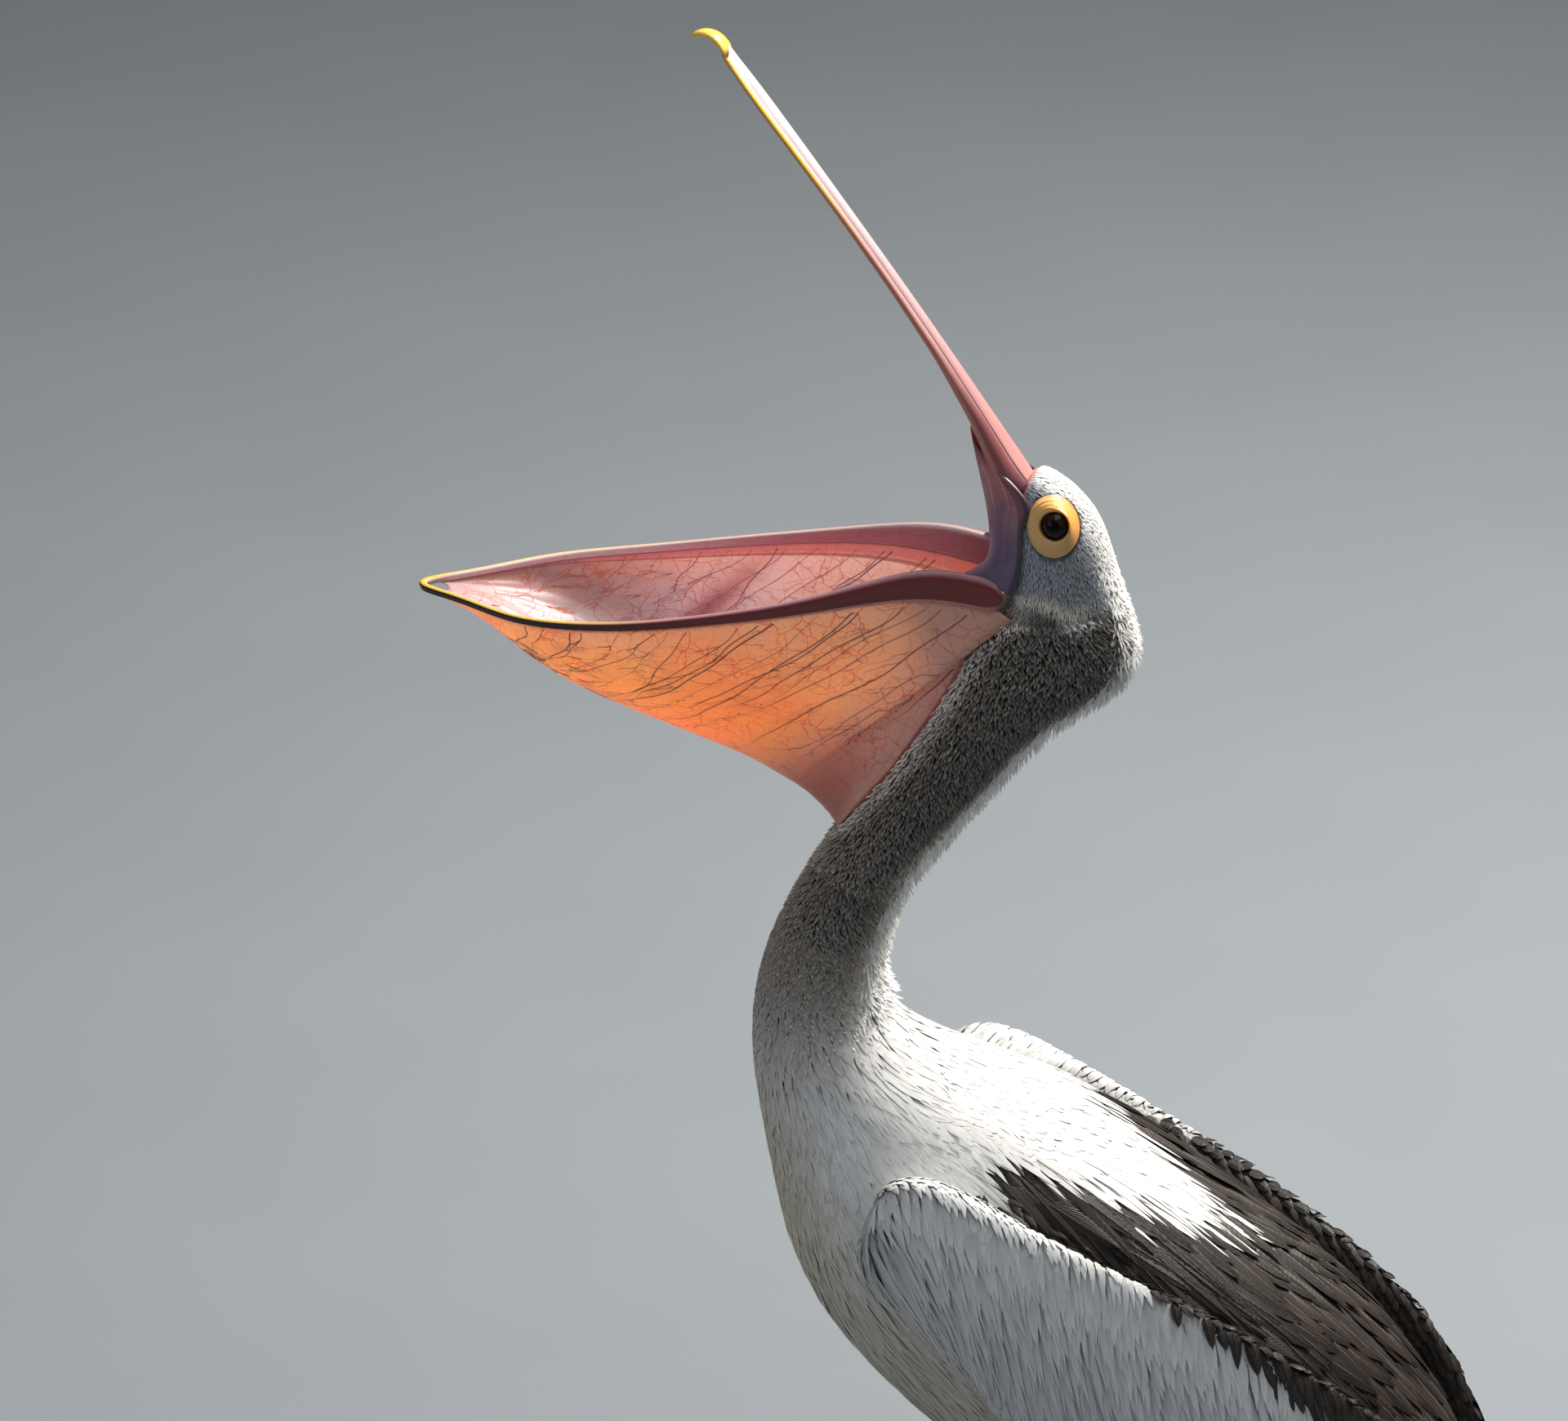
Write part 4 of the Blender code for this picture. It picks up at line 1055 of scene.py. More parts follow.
def curled(at, angle):
    """Heading of the neck's plush: swept back towards the nape, in small curls."""
    swept = np.clip(angle / 0.7, -1.0, 1.0) * 0.55
    return swept + 0.40 * ripple(at * 14.0, angle * 7.0, 2.0) + luck.normal(0.0, 0.28, len(at))


def plain(colour):
    """One colour, a little different by feather."""
    return lambda at, angle: varied(np.broadcast_to(colour, (len(at), 3)), 0.05)


def deep_in_coat(at, angle):
    """Depth of a root that sits just under the coat."""
    return coat_depth(at) + 0.0004


def streaked_face(at, angle):
    """Markings of the face, with light and dark tufts."""
    return varied(body_marking(at, angle), 0.30)


def plush(at, angle):
    """Markings of the neck, with the grey tips that give the plush its grain."""
    tint = body_marking(at, angle)
    pale = (luck.uniform(0.0, 1.0, len(at)) ** 3)[:, None] * 0.20
    return varied(tint * (1.0 - pale) + pale * np.array([0.56, 0.50, 0.44]), 0.35)


ROUND = (-math.pi, math.pi)
plant("face_tufts", BODY, (0.06, 3.35), ROUND, 0.00135, (0.0040, 0.0066), (0.0007, 0.0012),
      0.0004, (0.0001, 0.0007), PLUSH, streaked_face, down_finish, "face_plumage", keep=feathered,
      clear=free_of_face, depth=deep_in_coat, heading=wavering(0.12),
      tone=(0.85, 1.05), soften=0.85)


def thinning(at, angle):
    """Plush of the neck, fewer and fewer towards the breast."""
    return feathered(at, angle) & (luck.uniform(0.0, 1.0, at.shape) > soft(at, 8.4, 10.2))


def ruffled(at, angle):
    """Height of the plush's tips, lying down towards the breast."""
    return luck.uniform(0.0006, 0.0036, len(at)) * (1.0 - 0.8 * soft(at, 7.4, 9.4))


for number, (first, last) in enumerate(((3.15, 5.3), (5.2, 7.6), (7.5, 10.1)), start=1):
    plant("neck_plush_%d" % number, BODY, (first, last), ROUND, 0.00208, (0.0048, 0.0074),
          (0.0016, 0.0025), 0.0010, ruffled, PLUSH, plush, down_finish, "neck_plumage",
          keep=thinning, clear=free_of_face, depth=deep_in_coat, twist=0.3,
          heading=curled, tone=(0.28, 2.1) if number < 3 else (0.66, 1.22), soften=0.36)

# %% The white fringe that stands out down the nape
fringe_finish = Finish("nape_fringe", Roughness=0.8)
fringe_grain = fringe_finish.map("vane", (5.0, 0.7, 1.0)).noise(3.0)
fringe_tint = fringe_finish.colour("plumage")
fringe_finish.set("Base Color", (fringe_grain * 0.25).mix(fringe_tint, (0.45, 0.43, 0.40)))


def stand_out(at, angle):
    """Height of the fringe's tips: growing down from the back of the crown."""
    return (0.0015 + 0.0075 * soft(at, 2.4, 3.8)) * luck.uniform(0.35, 1.1, len(at))


# The fringe's white is 1.22 times the coat's white: painted light, for the light that shines through it from
# behind.
plant("nape_fringe", BODY, (2.5, 9.4), (math.radians(150), math.radians(210)), 0.0027,
      (0.010, 0.017), (0.0012, 0.0022), 0.0007, stand_out, SILKY,
      plain(WHITE * 1.22), fringe_finish, "neck_plumage", heading=wavering(0.40, 0.35), rise=1.0,
      tone=(0.9, 1.05))


# %% Silky plumes of the breast, the sides and the belly
def silk(at, angle):
    """White plumes, a few of them yellowed."""
    tint = body_marking(at, angle)
    chance = luck.uniform(0.0, 1.0, len(at)) ** 2
    yellow = (bell(at, 11.3, 1.4) * chance * (angle_off(angle) < 75))[:, None]
    return varied(tint * (1.0 - 0.5 * yellow) + BREAST_YELLOW * 0.5 * yellow, 0.10)


def before_cape(at, angle):
    """True in front of the cape's hind edge."""
    return at < cape_edge(angle)


def growing(at, angle):
    """Plumes short where the neck begins, long on the breast."""
    return (0.012 + 0.026 * soft(at, 8.4, 10.6)) * luck.uniform(0.75, 1.25, len(at))


plant("breast_plumes_high", BODY, (8.3, 11.6), ROUND, 0.0042, growing, (0.0034, 0.0054),
      0.0003, (0.0001, 0.0007), SILKY, silk, down_finish, "neck_plumage", keep=before_cape,
      depth=0.0022, heading=wavering(0.30, 0.12), tone=(0.78, 1.05), soften=0.86, twist=0.03, camber=0.05)
plant("breast_plumes_low", BODY, (11.0, 14.2), (-2.1, 2.1), 0.0058, (0.045, 0.075),
      (0.0042, 0.0064), 0.0005, (0.0002, 0.0014), SILKY, silk, down_finish, "body_plumage",
      keep=before_cape, depth=0.0028, heading=wavering(0.22, 0.10), tone=(0.64, 1.07), soften=0.74,
      twist=0.06, camber=0.08)
plant("belly_plumes", BODY, (13.6, 17.0), (-2.1, 2.1), 0.0080, (0.040, 0.060), (0.0060, 0.0085),
      0.0008, (0.0002, 0.0018), SILKY, silk, down_finish, "body_plumage", depth=0.0034,
      heading=wavering(0.18, 0.10), tone=(0.80, 1.05), soften=0.72)


# %% The white cape on the shoulders
def over_back(angle):
    """Share of the way from the wing's edge up to the middle of the back."""
    return soft(np.degrees(np.abs(wrapped(angle))), 126.0, 152.0)


def in_cape(at, angle):
    """True where a feather's root has to be for its tip to end at the cape's edge."""
    return before_cape(at + 0.72 - 0.44 * over_back(angle), angle)


def point_length(at, angle):
    """Pointed feathers of the cape's edge: short beside the wing, long over the back."""
    return (0.032 + 0.042 * over_back(angle)) * luck.uniform(0.75, 1.25, len(at))


def cape_rim(at, angle):
    """True in the band along the cape's edge."""
    return in_cape(at - 0.12, angle) & (at > cape_edge(angle) - 1.15 + 0.40 * over_back(angle))


OVER_BACK = (math.radians(80), math.radians(280))
plant("cape", BODY, (10.7, 13.6), OVER_BACK, 0.0060, (0.030, 0.050), (0.0085, 0.0125), 0.0003,
      (0.0001, 0.0007), LANCE, plain(WHITE), down_finish, "body_plumage", keep=in_cape, depth=0.0024,
      heading=wavering(0.16, 0.10), tone=(0.88, 1.02), soften=0.88, twist=0.02, camber=0.04)
plant("cape_points", BODY, (11.0, 13.6), OVER_BACK, 0.0092, point_length, (0.0046, 0.0072),
      0.0005, (0.0010, 0.0024), SPEAR, plain(WHITE), down_finish, "body_plumage", keep=cape_rim,
      depth=0.0028, heading=wavering(0.14, 0.08), tone=(0.88, 1.02), soften=0.80, twist=0.05)


# %% Black feathers of the back: scapulars, then the long tertials over them
def back_black(at, angle):
    """Black brown, greyer or browner by feather."""
    brown = luck.uniform(0.0, 1.0, (len(at), 1)) ** 1.6
    return BLACK_BROWN * (0.65 + 1.1 * brown) * np.array([1.14, 1.0, 0.90]) ** brown


def outward(slant):
    """Heading that slants away from the back's middle line."""
    return lambda at, angle: -slant * np.sign(angle) + luck.normal(0.0, 0.09, len(at))


def behind_cape(at, angle):
    """True behind the cape, and a little under it."""
    return at > cape_edge(angle) - 0.45


for side_name, side in LEFT_RIGHT:
    reach = (side * math.radians(84), side * math.radians(179))
    plant("back_down_" + side_name, BODY, (11.5, 17.0), reach, 0.0088, (0.026, 0.042),
          (0.0085, 0.0120), 0.0007, (-0.0016, 0.0), LANCE, back_black, vane_finish, "body_plumage",
          keep=behind_cape, depth=0.0032, heading=outward(0.15), tone=(0.8, 1.1))
    plant("scapulars_" + side_name, BODY, (11.8, 15.6), reach, 0.0135, (0.075, 0.130),
          (0.0115, 0.0165), 0.0008, (0.0016, 0.0044), LONG, back_black, vane_finish, "body_plumage",
          section=SHAFTED, keep=behind_cape, depth=0.0050, heading=outward(0.10), tone=(0.85, 1.05),
          soften=0.62, camber=0.22)
    plant("shoulder_tufts_" + side_name, BODY, (11.9, 14.0),
          (side * math.radians(88), side * math.radians(124)), 0.0085, (0.018, 0.030), (0.0045, 0.0070),
          0.0007, (0.0030, 0.0060), SILKY, back_black, vane_finish, "body_plumage",
          keep=lambda at, angle: at > cape_edge(angle) + 0.02, depth=0.0040, heading=wavering(0.9, 0.3),
          tone=(0.7, 1.3), soften=0.5)
print("back covered")

# %% Upper and under tail coverts, and the fan of the tail
TAIL_FEATHERS = 20
fan = np.linspace(-0.86, 0.86, TAIL_FEATHERS)
fan_run = (1.30 - 0.28 * fan ** 2, 0.10 * fan)
fan_depth = np.abs(np.linspace(-1.0, 1.0, TAIL_FEATHERS)) * -0.004
coat("tail_fan", TAIL, np.full(TAIL_FEATHERS, -0.30), fan, back_black(fan, fan), vane_finish,
     "tail_feathers", run=fan_run, width=0.030, thick=0.0012, outline=QUILL, section=SHAFTED,
     low=fan_depth, high=fan_depth)
plant("upper_tail_coverts", TAIL, (-0.75, 0.25), (-0.85, 0.85), 0.010, (0.045, 0.065),
      (0.012, 0.016), 0.0013, (0.006, 0.010), LANCE, back_black, vane_finish, "tail_feathers",
      depth=-0.002, tone=(0.9, 1.05))
plant("under_tail_coverts", TAIL, (-0.75, 0.35), (-0.85, 0.85), 0.009, (0.040, 0.060),
      (0.010, 0.014), 0.0013, (-0.012, -0.008), SILKY, plain(WHITE), down_finish, "tail_feathers",
      depth=0.014, tone=(0.8, 1.05))


# %% The wings: rounded coverts on the ridge, long ones hanging below, black feathers behind
def hang(at, angle):
    """Heading of the coverts: straight down the wing, a little tailward near the wrist."""
    down = np.radians(between([(0.0, 38.0), (1.5, 60.0), (4.0, 72.0), (6.5, 62.0)], at))
    return down + 0.13 * ripple(at * 16.0, angle * 4.0, 4.0) + luck.normal(0.0, 0.10, len(at))


def short_on_ridge(low, high):
    """Length that grows away from the ridge, and is shorter near the wrist."""
    def length(at, angle):
        """Length for each place."""
        grown = low + (high - low) * soft(np.degrees(angle), 25.0, 80.0)
        return grown * luck.uniform(0.85, 1.15, len(at)) * between([(0.0, 0.55), (1.0, 0.8), (2.0, 1.0)], at)
    return length


def wing_white(at, angle):
    """White with painted shade: darker away from the ridge and between the locks that hang low."""
    # Painted shade: the white darkens away from the ridge, which faces the light, and between the hanging
    # locks.
    locks = ripple(at * 20.0, angle * 1.6, 6.0) * soft(np.degrees(angle), 20.0, 80.0)
    shade = 0.98 - 0.30 * soft(np.degrees(angle), 25.0, 80.0)
    return varied(WHITE * (shade + 0.16 * locks)[:, None] * np.array([0.985, 1.0, 1.015]), 0.09)


def wing_under(at, angle):
    """Lining under the wing: white in front, black under the flight feathers."""
    return np.where((at < 3.6)[:, None], wing_white(at, angle), back_black(at, angle))


def hang_out(at, angle):
    """Height of the tips: flat on the ridge, looser and in locks lower down."""
    locks = 0.5 + 0.5 * ripple(at * 20.0, angle * 1.6, 6.0)
    return 0.0004 + (0.0008 + 0.0040 * locks) * soft(np.degrees(angle), 10.0, 60.0)


def short_inside(at, angle):
    """Black coverts: short tufts on the wing's inner side, longer ones behind and below."""
    return (0.013 + 0.029 * soft(angle, 0.10, 0.70)) * luck.uniform(0.85, 1.2, len(at))


def sweep(at, angle):
    """Heading of the black coverts: inward on the inner side, down and tailward outside."""
    outside = np.radians(between([(4.2, 58.0), (6.5, 34.0), (8.6, 8.0)], at))
    return -0.5 + (outside + 0.5) * soft(angle, -0.40, 0.05) + luck.normal(0.0, 0.12, len(at))


SECONDARIES, PRIMARIES = 24, 10
for side_name, side in LEFT_RIGHT:
    plant("wing_coverts_" + side_name, WING, (0.08, 7.0), (-1.3, 2.75), 0.0050,
          short_on_ridge(0.026, 0.080), (0.0042, 0.0066), 0.00045, hang_out, SPEAR, wing_white,
          down_finish, "wing_coverts", keep=lambda at, angle: at < covert_edge(angle), depth=0.0034,
          heading=hang, side=side, tone=(0.58, 1.12), soften=0.78, twist=0.07, camber=0.06, stop=3.0)
    plant("wing_lining_" + side_name, WING, (0.2, 7.0), (-3.1, -0.8), 0.012, (0.030, 0.045),
          (0.010, 0.014), 0.0007, (0.0002, 0.0010), LANCE, wing_under, down_finish, "wing_coverts",
          depth=0.0034, heading=-0.9, side=side, tone=(0.8, 1.0))
    plant("black_coverts_" + side_name, WING, (2.2, 8.6), (-1.35, 2.9), 0.0078, short_inside,
          (0.0060, 0.0092), 0.0004, (0.0002, 0.0010), LANCE, back_black, vane_finish, "flight_feathers",
          keep=lambda at, angle: at > covert_edge(angle) + 0.30 * soft(angle, 0.30, 0.8), depth=0.004,
          heading=sweep, side=side, tone=(0.75, 1.2), camber=0.08, stop=3.0)
    flights = np.linspace(0.0, 1.0, SECONDARIES)
    roots = 1.7 + 4.8 * flights
    coat("secondaries_" + side_name, WING, roots, np.radians(150.0 - 20.0 * flights),
         back_black(roots, roots), vane_finish, "flight_feathers", side=side,
         run=(2.1 + 0.3 * flights, np.radians(27.0 - 22.0 * flights)), width=0.026, thick=0.0013,
         outline=QUILL, section=SHAFTED, low=-0.004, high=-0.0005 + 0.001 * flights,
         replaces=["wing_secondaries_" + side_name])
    tips = np.linspace(0.0, 1.0, PRIMARIES)
    coat("primaries_" + side_name, WING, 6.1 + 0.7 * tips, np.radians(150.0 - 105.0 * tips),
         back_black(tips, tips), vane_finish, "flight_feathers", side=side,
         run=(2.75 - 0.6 * tips - 0.3 * tips ** 2, np.radians(10.0 - 5.0 * tips)), width=0.020, thick=0.0013,
         outline=QUILL, section=SHAFTED, low=-0.003, high=0.0035, replaces=["wing_primaries_" + side_name])

# %% Thighs
for side_name, side in LEFT_RIGHT:
    plant("thigh_down_" + side_name, THIGH, (0.0, 2.75), (0.0, 2.0 * math.pi), 0.0060,
          (0.022, 0.034), (0.0045, 0.0065), 0.0008, (0.0004, 0.0016), SILKY, plain(WHITE),
          down_finish, "thigh_plumage", depth=0.0022, side=side, tone=(0.75, 1.05))

# %% [markdown]
# ## The upper bill
# The bill is a long flat blade with a raised ridge, the culmen, down its middle and a groove on each
# side of it. A section is worked out for each place along it, and the sections are skinned as one
# closed tube. Its colours follow numbers that the mesh carries: how far along, how far aside.

# %% Sections of the bill
BILL_BASE = np.array([0.0, 0.187, 0.223])
BILL_END = np.array([0.0, -0.034, 0.524])
# Share of the bill's length, half width, depth.
BILL_SHAPE = np.array([(-0.10, 0.0200, 0.030), (0.02, 0.0200, 0.025), (0.14, 0.0150, 0.0140),
                       (0.30, 0.0115, 0.0085), (0.46, 0.0104, 0.0070), (0.62, 0.0104, 0.0064),
                       (0.78, 0.0115, 0.0060), (0.90, 0.0124, 0.0058), (0.96, 0.0116, 0.0056),
                       (1.03, 0.0088, 0.0050)])
BILL_LAST = 1.03
BILL_TOP = np.cross(unit(BILL_END - BILL_BASE), SIDEWAYS)


def smooth_rows(shares, table):
    """Table's columns at the shares, with the corners between its rows softened."""
    near = [np.stack([np.interp(shares + step, table[:, 0], column) for column in table[:, 1:].T], -1)
            for step in (-0.03, -0.015, 0.0, 0.015, 0.03)]
    return sum(near) / len(near)


def bill_section(share, angle):
    """Flat floor below, low roof above with a ridge in the middle and a groove on each side."""
    sizes = smooth_rows(share, BILL_SHAPE)
    opened = np.clip((share + 0.055) / 0.085, 0.0, 1.0)
    closing = np.sqrt(opened * (2.0 - opened))
    closing = closing * np.sqrt(np.clip((BILL_LAST + 0.004 - share) / 0.020, 0.0, 1.0))
    width, depth = sizes[..., 0] * (0.15 + 0.85 * closing), sizes[..., 1]
    bow = 0.003 * np.sin(math.pi * np.clip(share, 0.0, 1.0))
    culmen = BILL_BASE + (BILL_END - BILL_BASE) * share[..., None] + BILL_TOP * bow[..., None]
    across = signed_power(np.cos(angle), 0.8)
    x = width * across
    ridge = 0.0020 * np.exp(-(x / 0.005) ** 2)
    groove = (0.0009 * bell(np.abs(across), 0.56, 0.09) * soft(share, -0.02, 0.06)
              * (1.0 - soft(share, 0.93, 1.0)))
    sine = np.abs(np.sin(angle))
    roof = depth / 2.0 * sine + ridge - groove
    palate = 0.0005 * np.cos(across * 9.4)
    floor = -depth / 2.0 * sine ** 0.6 + palate * sine
    lift = np.where(np.sin(angle) > 0.0, roof, floor) - depth / 2.0 - 0.0020
    return culmen + x[..., None] * SIDEWAYS + lift[..., None] * BILL_TOP, across


bill_share, bill_angle = around(-0.06, BILL_LAST, 200, 72)
bill_rings, bill_across = bill_section(bill_share, bill_angle)
print("bill from", bill_rings[0].mean(0).round(3), "to", bill_rings[-1].mean(0).round(3))

# %% The bill's finish: pink ridge, painted shade in the groove beside a painted highlight, maroon cheek, yellow cutting edge near the tip
horn = Finish("bill_horn", Roughness=0.36, Coat_Weight=0.25, Coat_Roughness=0.25, Subsurface_Weight=0.15,
              Subsurface_Scale=0.003)
share = horn.value("share")
aside = abs(horn.value("across"))
under = horn.value("under")
grain = horn.map("horn", (60.0, 3.0, 1.0)).noise(6.0, 4.0)
culmen_tint = share.step(0.0, 0.9).mix((0.62, 0.28, 0.26), (0.68, 0.56, 0.60))
panel_tint = share.step(0.10, 0.42).mix((0.28, 0.085, 0.085), (0.60, 0.33, 0.30))
panel_tint = share.step(0.50, 0.90).mix(panel_tint, (0.64, 0.62, 0.70))
tint = aside.step(0.50, 0.60).mix(culmen_tint, panel_tint)
# Painted shade along the groove beside the ridge.
groove_shade = (1.0 - abs(aside - 0.56).step(0.015, 0.065)) * (1.0 - share.step(0.90, 0.97))
tint = (groove_shade * (1.0 - share.step(0.25, 0.95) * 0.6)).mix(tint, (0.045, 0.030, 0.050))
# Painted highlight: a pale bluish line on the groove's outer lip near the base.
groove_edge_highlight = (1.0 - abs(aside - 0.66).step(0.005, 0.035)) * (1.0 - share.step(0.25, 0.60))
tint = (groove_edge_highlight * 0.4).mix(tint, (0.36, 0.34, 0.42))
edge_red = aside.step(0.87, 0.97) * share.step(0.12, 0.30)
tint = (edge_red * 0.8).mix(tint, (0.52, 0.17, 0.10))
yellow_edge = aside.step(0.72, 0.86) * share.step(0.50, 0.82)
tint = yellow_edge.mix(tint, (0.86, 0.50, 0.04))
tint = (under * 0.75).mix(tint, (0.62, 0.26, 0.20))
tint = ((1.0 - share.step(-0.02, 0.05)) * aside.step(0.4, 0.6) * 0.6).mix(tint, (0.16, 0.07, 0.11))
tint = (grain.step(0.42, 0.75) * 0.35).mix(tint, (0.30, 0.12, 0.12))
speck = horn.place().cells(140.0)
tint = ((1.0 - speck.step(0.10, 0.16)) * grain.step(0.52, 0.60) * 0.6).mix(tint, (0.10, 0.03, 0.03))
horn.set("Base Color", tint)
horn.relief(grain, 0.25, 0.0006)
bill_values = all_with_ends(share=bill_share, across=bill_across, under=(np.sin(bill_angle) < -0.05) * 1.0)
add_piece("upper_bill", *closed_tube(bill_rings), horn, "bill_horn", ["bill_upper"],
          values=bill_values, maps=horn_map(bill_angle, bill_share))

# %% [markdown]
# ## The nail
# The bill ends in a hooked nail of harder horn. It is a tube carried along a short curved spine,
# whose sections stand square to the spine and shrink to a point.

# %% Nail at the tip of the bill
# Spine y, z; half width; half depth.
NAIL = np.array([(-0.0400, 0.5255, 0.0085, 0.0016), (-0.0425, 0.5300, 0.0090, 0.0026),
                 (-0.0465, 0.5352, 0.0084, 0.0032), (-0.0520, 0.5395, 0.0070, 0.0033),
                 (-0.0590, 0.5412, 0.0052, 0.0028), (-0.0655, 0.5396, 0.0030, 0.0020),
                 (-0.0700, 0.5362, 0.0006, 0.0006)])


def ahead_on(rows, at):
    """Way along a spline: the place a little ahead minus the place a little behind."""
    last = len(rows) - 1.0
    return spline(rows, np.minimum(at + 0.05, last)) - spline(rows, np.maximum(at - 0.05, 0.0))


def nail_section(at, angle):
    """Ellipse square to the spine: half width along x, half depth across the spine."""
    row = spline(NAIL, at)
    way = unit(ahead_on(NAIL, at))
    way = unit(way[..., 0:2])
    x = row[..., 2] * signed_power(np.cos(angle), 0.85)
    lift = row[..., 3] * np.sin(angle)
    return np.stack([x, row[..., 0] + lift * way[..., 1], row[..., 1] - lift * way[..., 0]], -1)


NAIL_LAST = len(NAIL) - 1.0
nail_at, nail_angle = around(0.0, NAIL_LAST, 60, 40)
nail_finish = Finish("nail_horn", Roughness=0.30, Coat_Weight=0.3, Coat_Roughness=0.2)
nail_grain = nail_finish.map("horn", (8.0, 2.0, 1.0)).noise(4.0, 4.0)
nail_tint = nail_grain.mix((0.86, 0.48, 0.03), (0.90, 0.66, 0.16))
root_dark = 1.0 - nail_finish.value("along").step(0.10, 0.26)
root_dark = root_dark * nail_finish.value("below") * 0.9
nail_finish.set("Base Color", root_dark.mix(nail_tint, (0.05, 0.035, 0.02)))
nail_finish.relief(nail_grain, 0.3, 0.0006)
nail_values = all_with_ends(along=nail_at / NAIL_LAST, below=(np.sin(nail_angle) > 0.2) * 1.0)
add_piece("nail", *closed_tube(nail_section(nail_at, nail_angle)), nail_finish, "nail_horn", ["bill_nail"],
          values=nail_values, maps=horn_map(nail_angle, nail_at / NAIL_LAST))

# %% [markdown]
# ## The bars of the lower jaw
# Two thin bars of horn run from the cheeks and meet at the tip. Wide open, they bow outwards and
# hold the pouch like the rim of a net. One closed tube follows the whole hoop, from cheek to cheek.

# %% The hoop of the lower jaw
# The left bar, from the cheek forward: its top edge's x, y, z; depth; thickness.
RAMUS = [
    (0.0335, 0.174, 0.144, 0.0250, 0.0080), (0.0400, 0.122, 0.151, 0.0250, 0.0085),
    (0.0540, 0.072, 0.141, 0.0180, 0.0075), (0.0660, 0.020, 0.1255, 0.0120, 0.0065),
    (0.0715, -0.034, 0.112, 0.0090, 0.0060), (0.0725, -0.088, 0.100, 0.0075, 0.0055),
    (0.0685, -0.140, 0.0907, 0.0065, 0.0052), (0.0570, -0.190, 0.0845, 0.0060, 0.0050),
    (0.0355, -0.230, 0.0810, 0.0058, 0.0050), (0.0175, -0.261, 0.0785, 0.0058, 0.0052),
]
JAW_TIP = (0.0, -0.284, 0.0768, 0.0062, 0.0060)
HOOP = np.array(RAMUS + [JAW_TIP] + [(-x, y, z, depth, thick) for x, y, z, depth, thick in RAMUS[::-1]])
HOOP_MIDDLE = float(len(RAMUS))


def jaw_section(at, angle):
    """Upright bar with rounded edges, its ends drawn in: side times cosine, depth times sine."""
    row = spline(HOOP, at)
    across = unit(np.cross(ahead_on(HOOP, at)[..., 0:3], UPRIGHT))
    from_end = np.clip(np.minimum(at, 2.0 * HOOP_MIDDLE - at) / 0.35, 0.0, 1.0)
    drawn = 0.25 + 0.75 * np.sqrt(1.0 - (1.0 - from_end) ** 2)
    middle = row[..., 0:3] - UPRIGHT * (row[..., 3] / 2.0)[..., None]
    cosine, sine = np.cos(angle), np.sin(angle)
    side = signed_power(cosine, 0.8) * row[..., 4] / 2.0
    side = side * (1.0 - 0.28 * bell(sine, -0.35, 0.35) * soft(from_end, 0.2, 1.0))
    high = signed_power(sine, 0.8) * row[..., 3] / 2.0 * drawn
    return middle + side[..., None] * across + high[..., None] * UPRIGHT


jaw_at, jaw_angle = around(0.0, 2.0 * HOOP_MIDDLE, 420, 40)
jaw_along = 1.0 - np.abs(jaw_at - HOOP_MIDDLE) / HOOP_MIDDLE

jaw_finish = Finish("jaw_horn", Roughness=0.36, Specular_IOR_Level=0.35)
along, inner, high = [jaw_finish.value(key) for key in ("along", "inner", "high")]
jaw_grain = jaw_finish.map("horn", (5.0, 30.0, 1.0)).noise(3.0, 4.0)
outer_tint = along.step(0.35, 0.72).mix((0.205, 0.036, 0.034), (0.020, 0.012, 0.011))
inner_tint = along.step(0.25, 0.75).mix((0.50, 0.17, 0.20), (0.66, 0.50, 0.50))
tint = inner.step(-0.15, 0.35).mix(outer_tint, inner_tint)
# The bar's top edge: a painted highlight, lighter than the bar near the cheek and along the inside, and
# yellow near the tip, which is the horn's own colour.
rim_yellow_and_highlight = along.step(0.42, 0.70).mix((0.42, 0.20, 0.23), (0.78, 0.48, 0.07))
rim_yellow_and_highlight = (inner.step(-0.05, 0.35) * (1.0 - along.step(0.88, 0.97))).mix(rim_yellow_and_highlight, (0.70, 0.55, 0.50))
tint = high.step(0.55, 0.85).mix(tint, rim_yellow_and_highlight)
keel_line = (1.0 - high.step(-0.90, -0.72)) * (1.0 - along.step(0.30, 0.55))
tint = keel_line.mix(tint, (0.62, 0.34, 0.33))
tint = (along.step(0.965, 0.99) * (1.0 - high.step(0.1, 0.5))).mix(tint, (0.30, 0.18, 0.06))
tint = (jaw_grain.step(0.45, 0.8) * 0.35).mix(tint, (0.16, 0.05, 0.06))
jaw_finish.set("Base Color", tint)
jaw_finish.relief(jaw_grain, 0.2, 0.0006)
jaw_values = all_with_ends(along=jaw_along, inner=np.cos(jaw_angle), high=np.sin(jaw_angle))
add_piece("jaw_hoop", *closed_tube(jaw_section(jaw_at, jaw_angle)), jaw_finish, "jaw_horn",
          ["jaw_left", "jaw_tip", "jaw_right"], values=jaw_values, maps=horn_map(jaw_angle, jaw_along))

# %% [markdown]
# ## The pouch
# The pouch is bare elastic skin, so thin that light comes through it. Its upper edge hangs on the
# jaw and then runs down the sides of the neck, and its lowest line is the keel. Each cross section
# is half an ellipse between the two edges. The sheet is given a wall of under a millimetre, and
# light is let in below the skin, so that it glows when it is lit from behind.

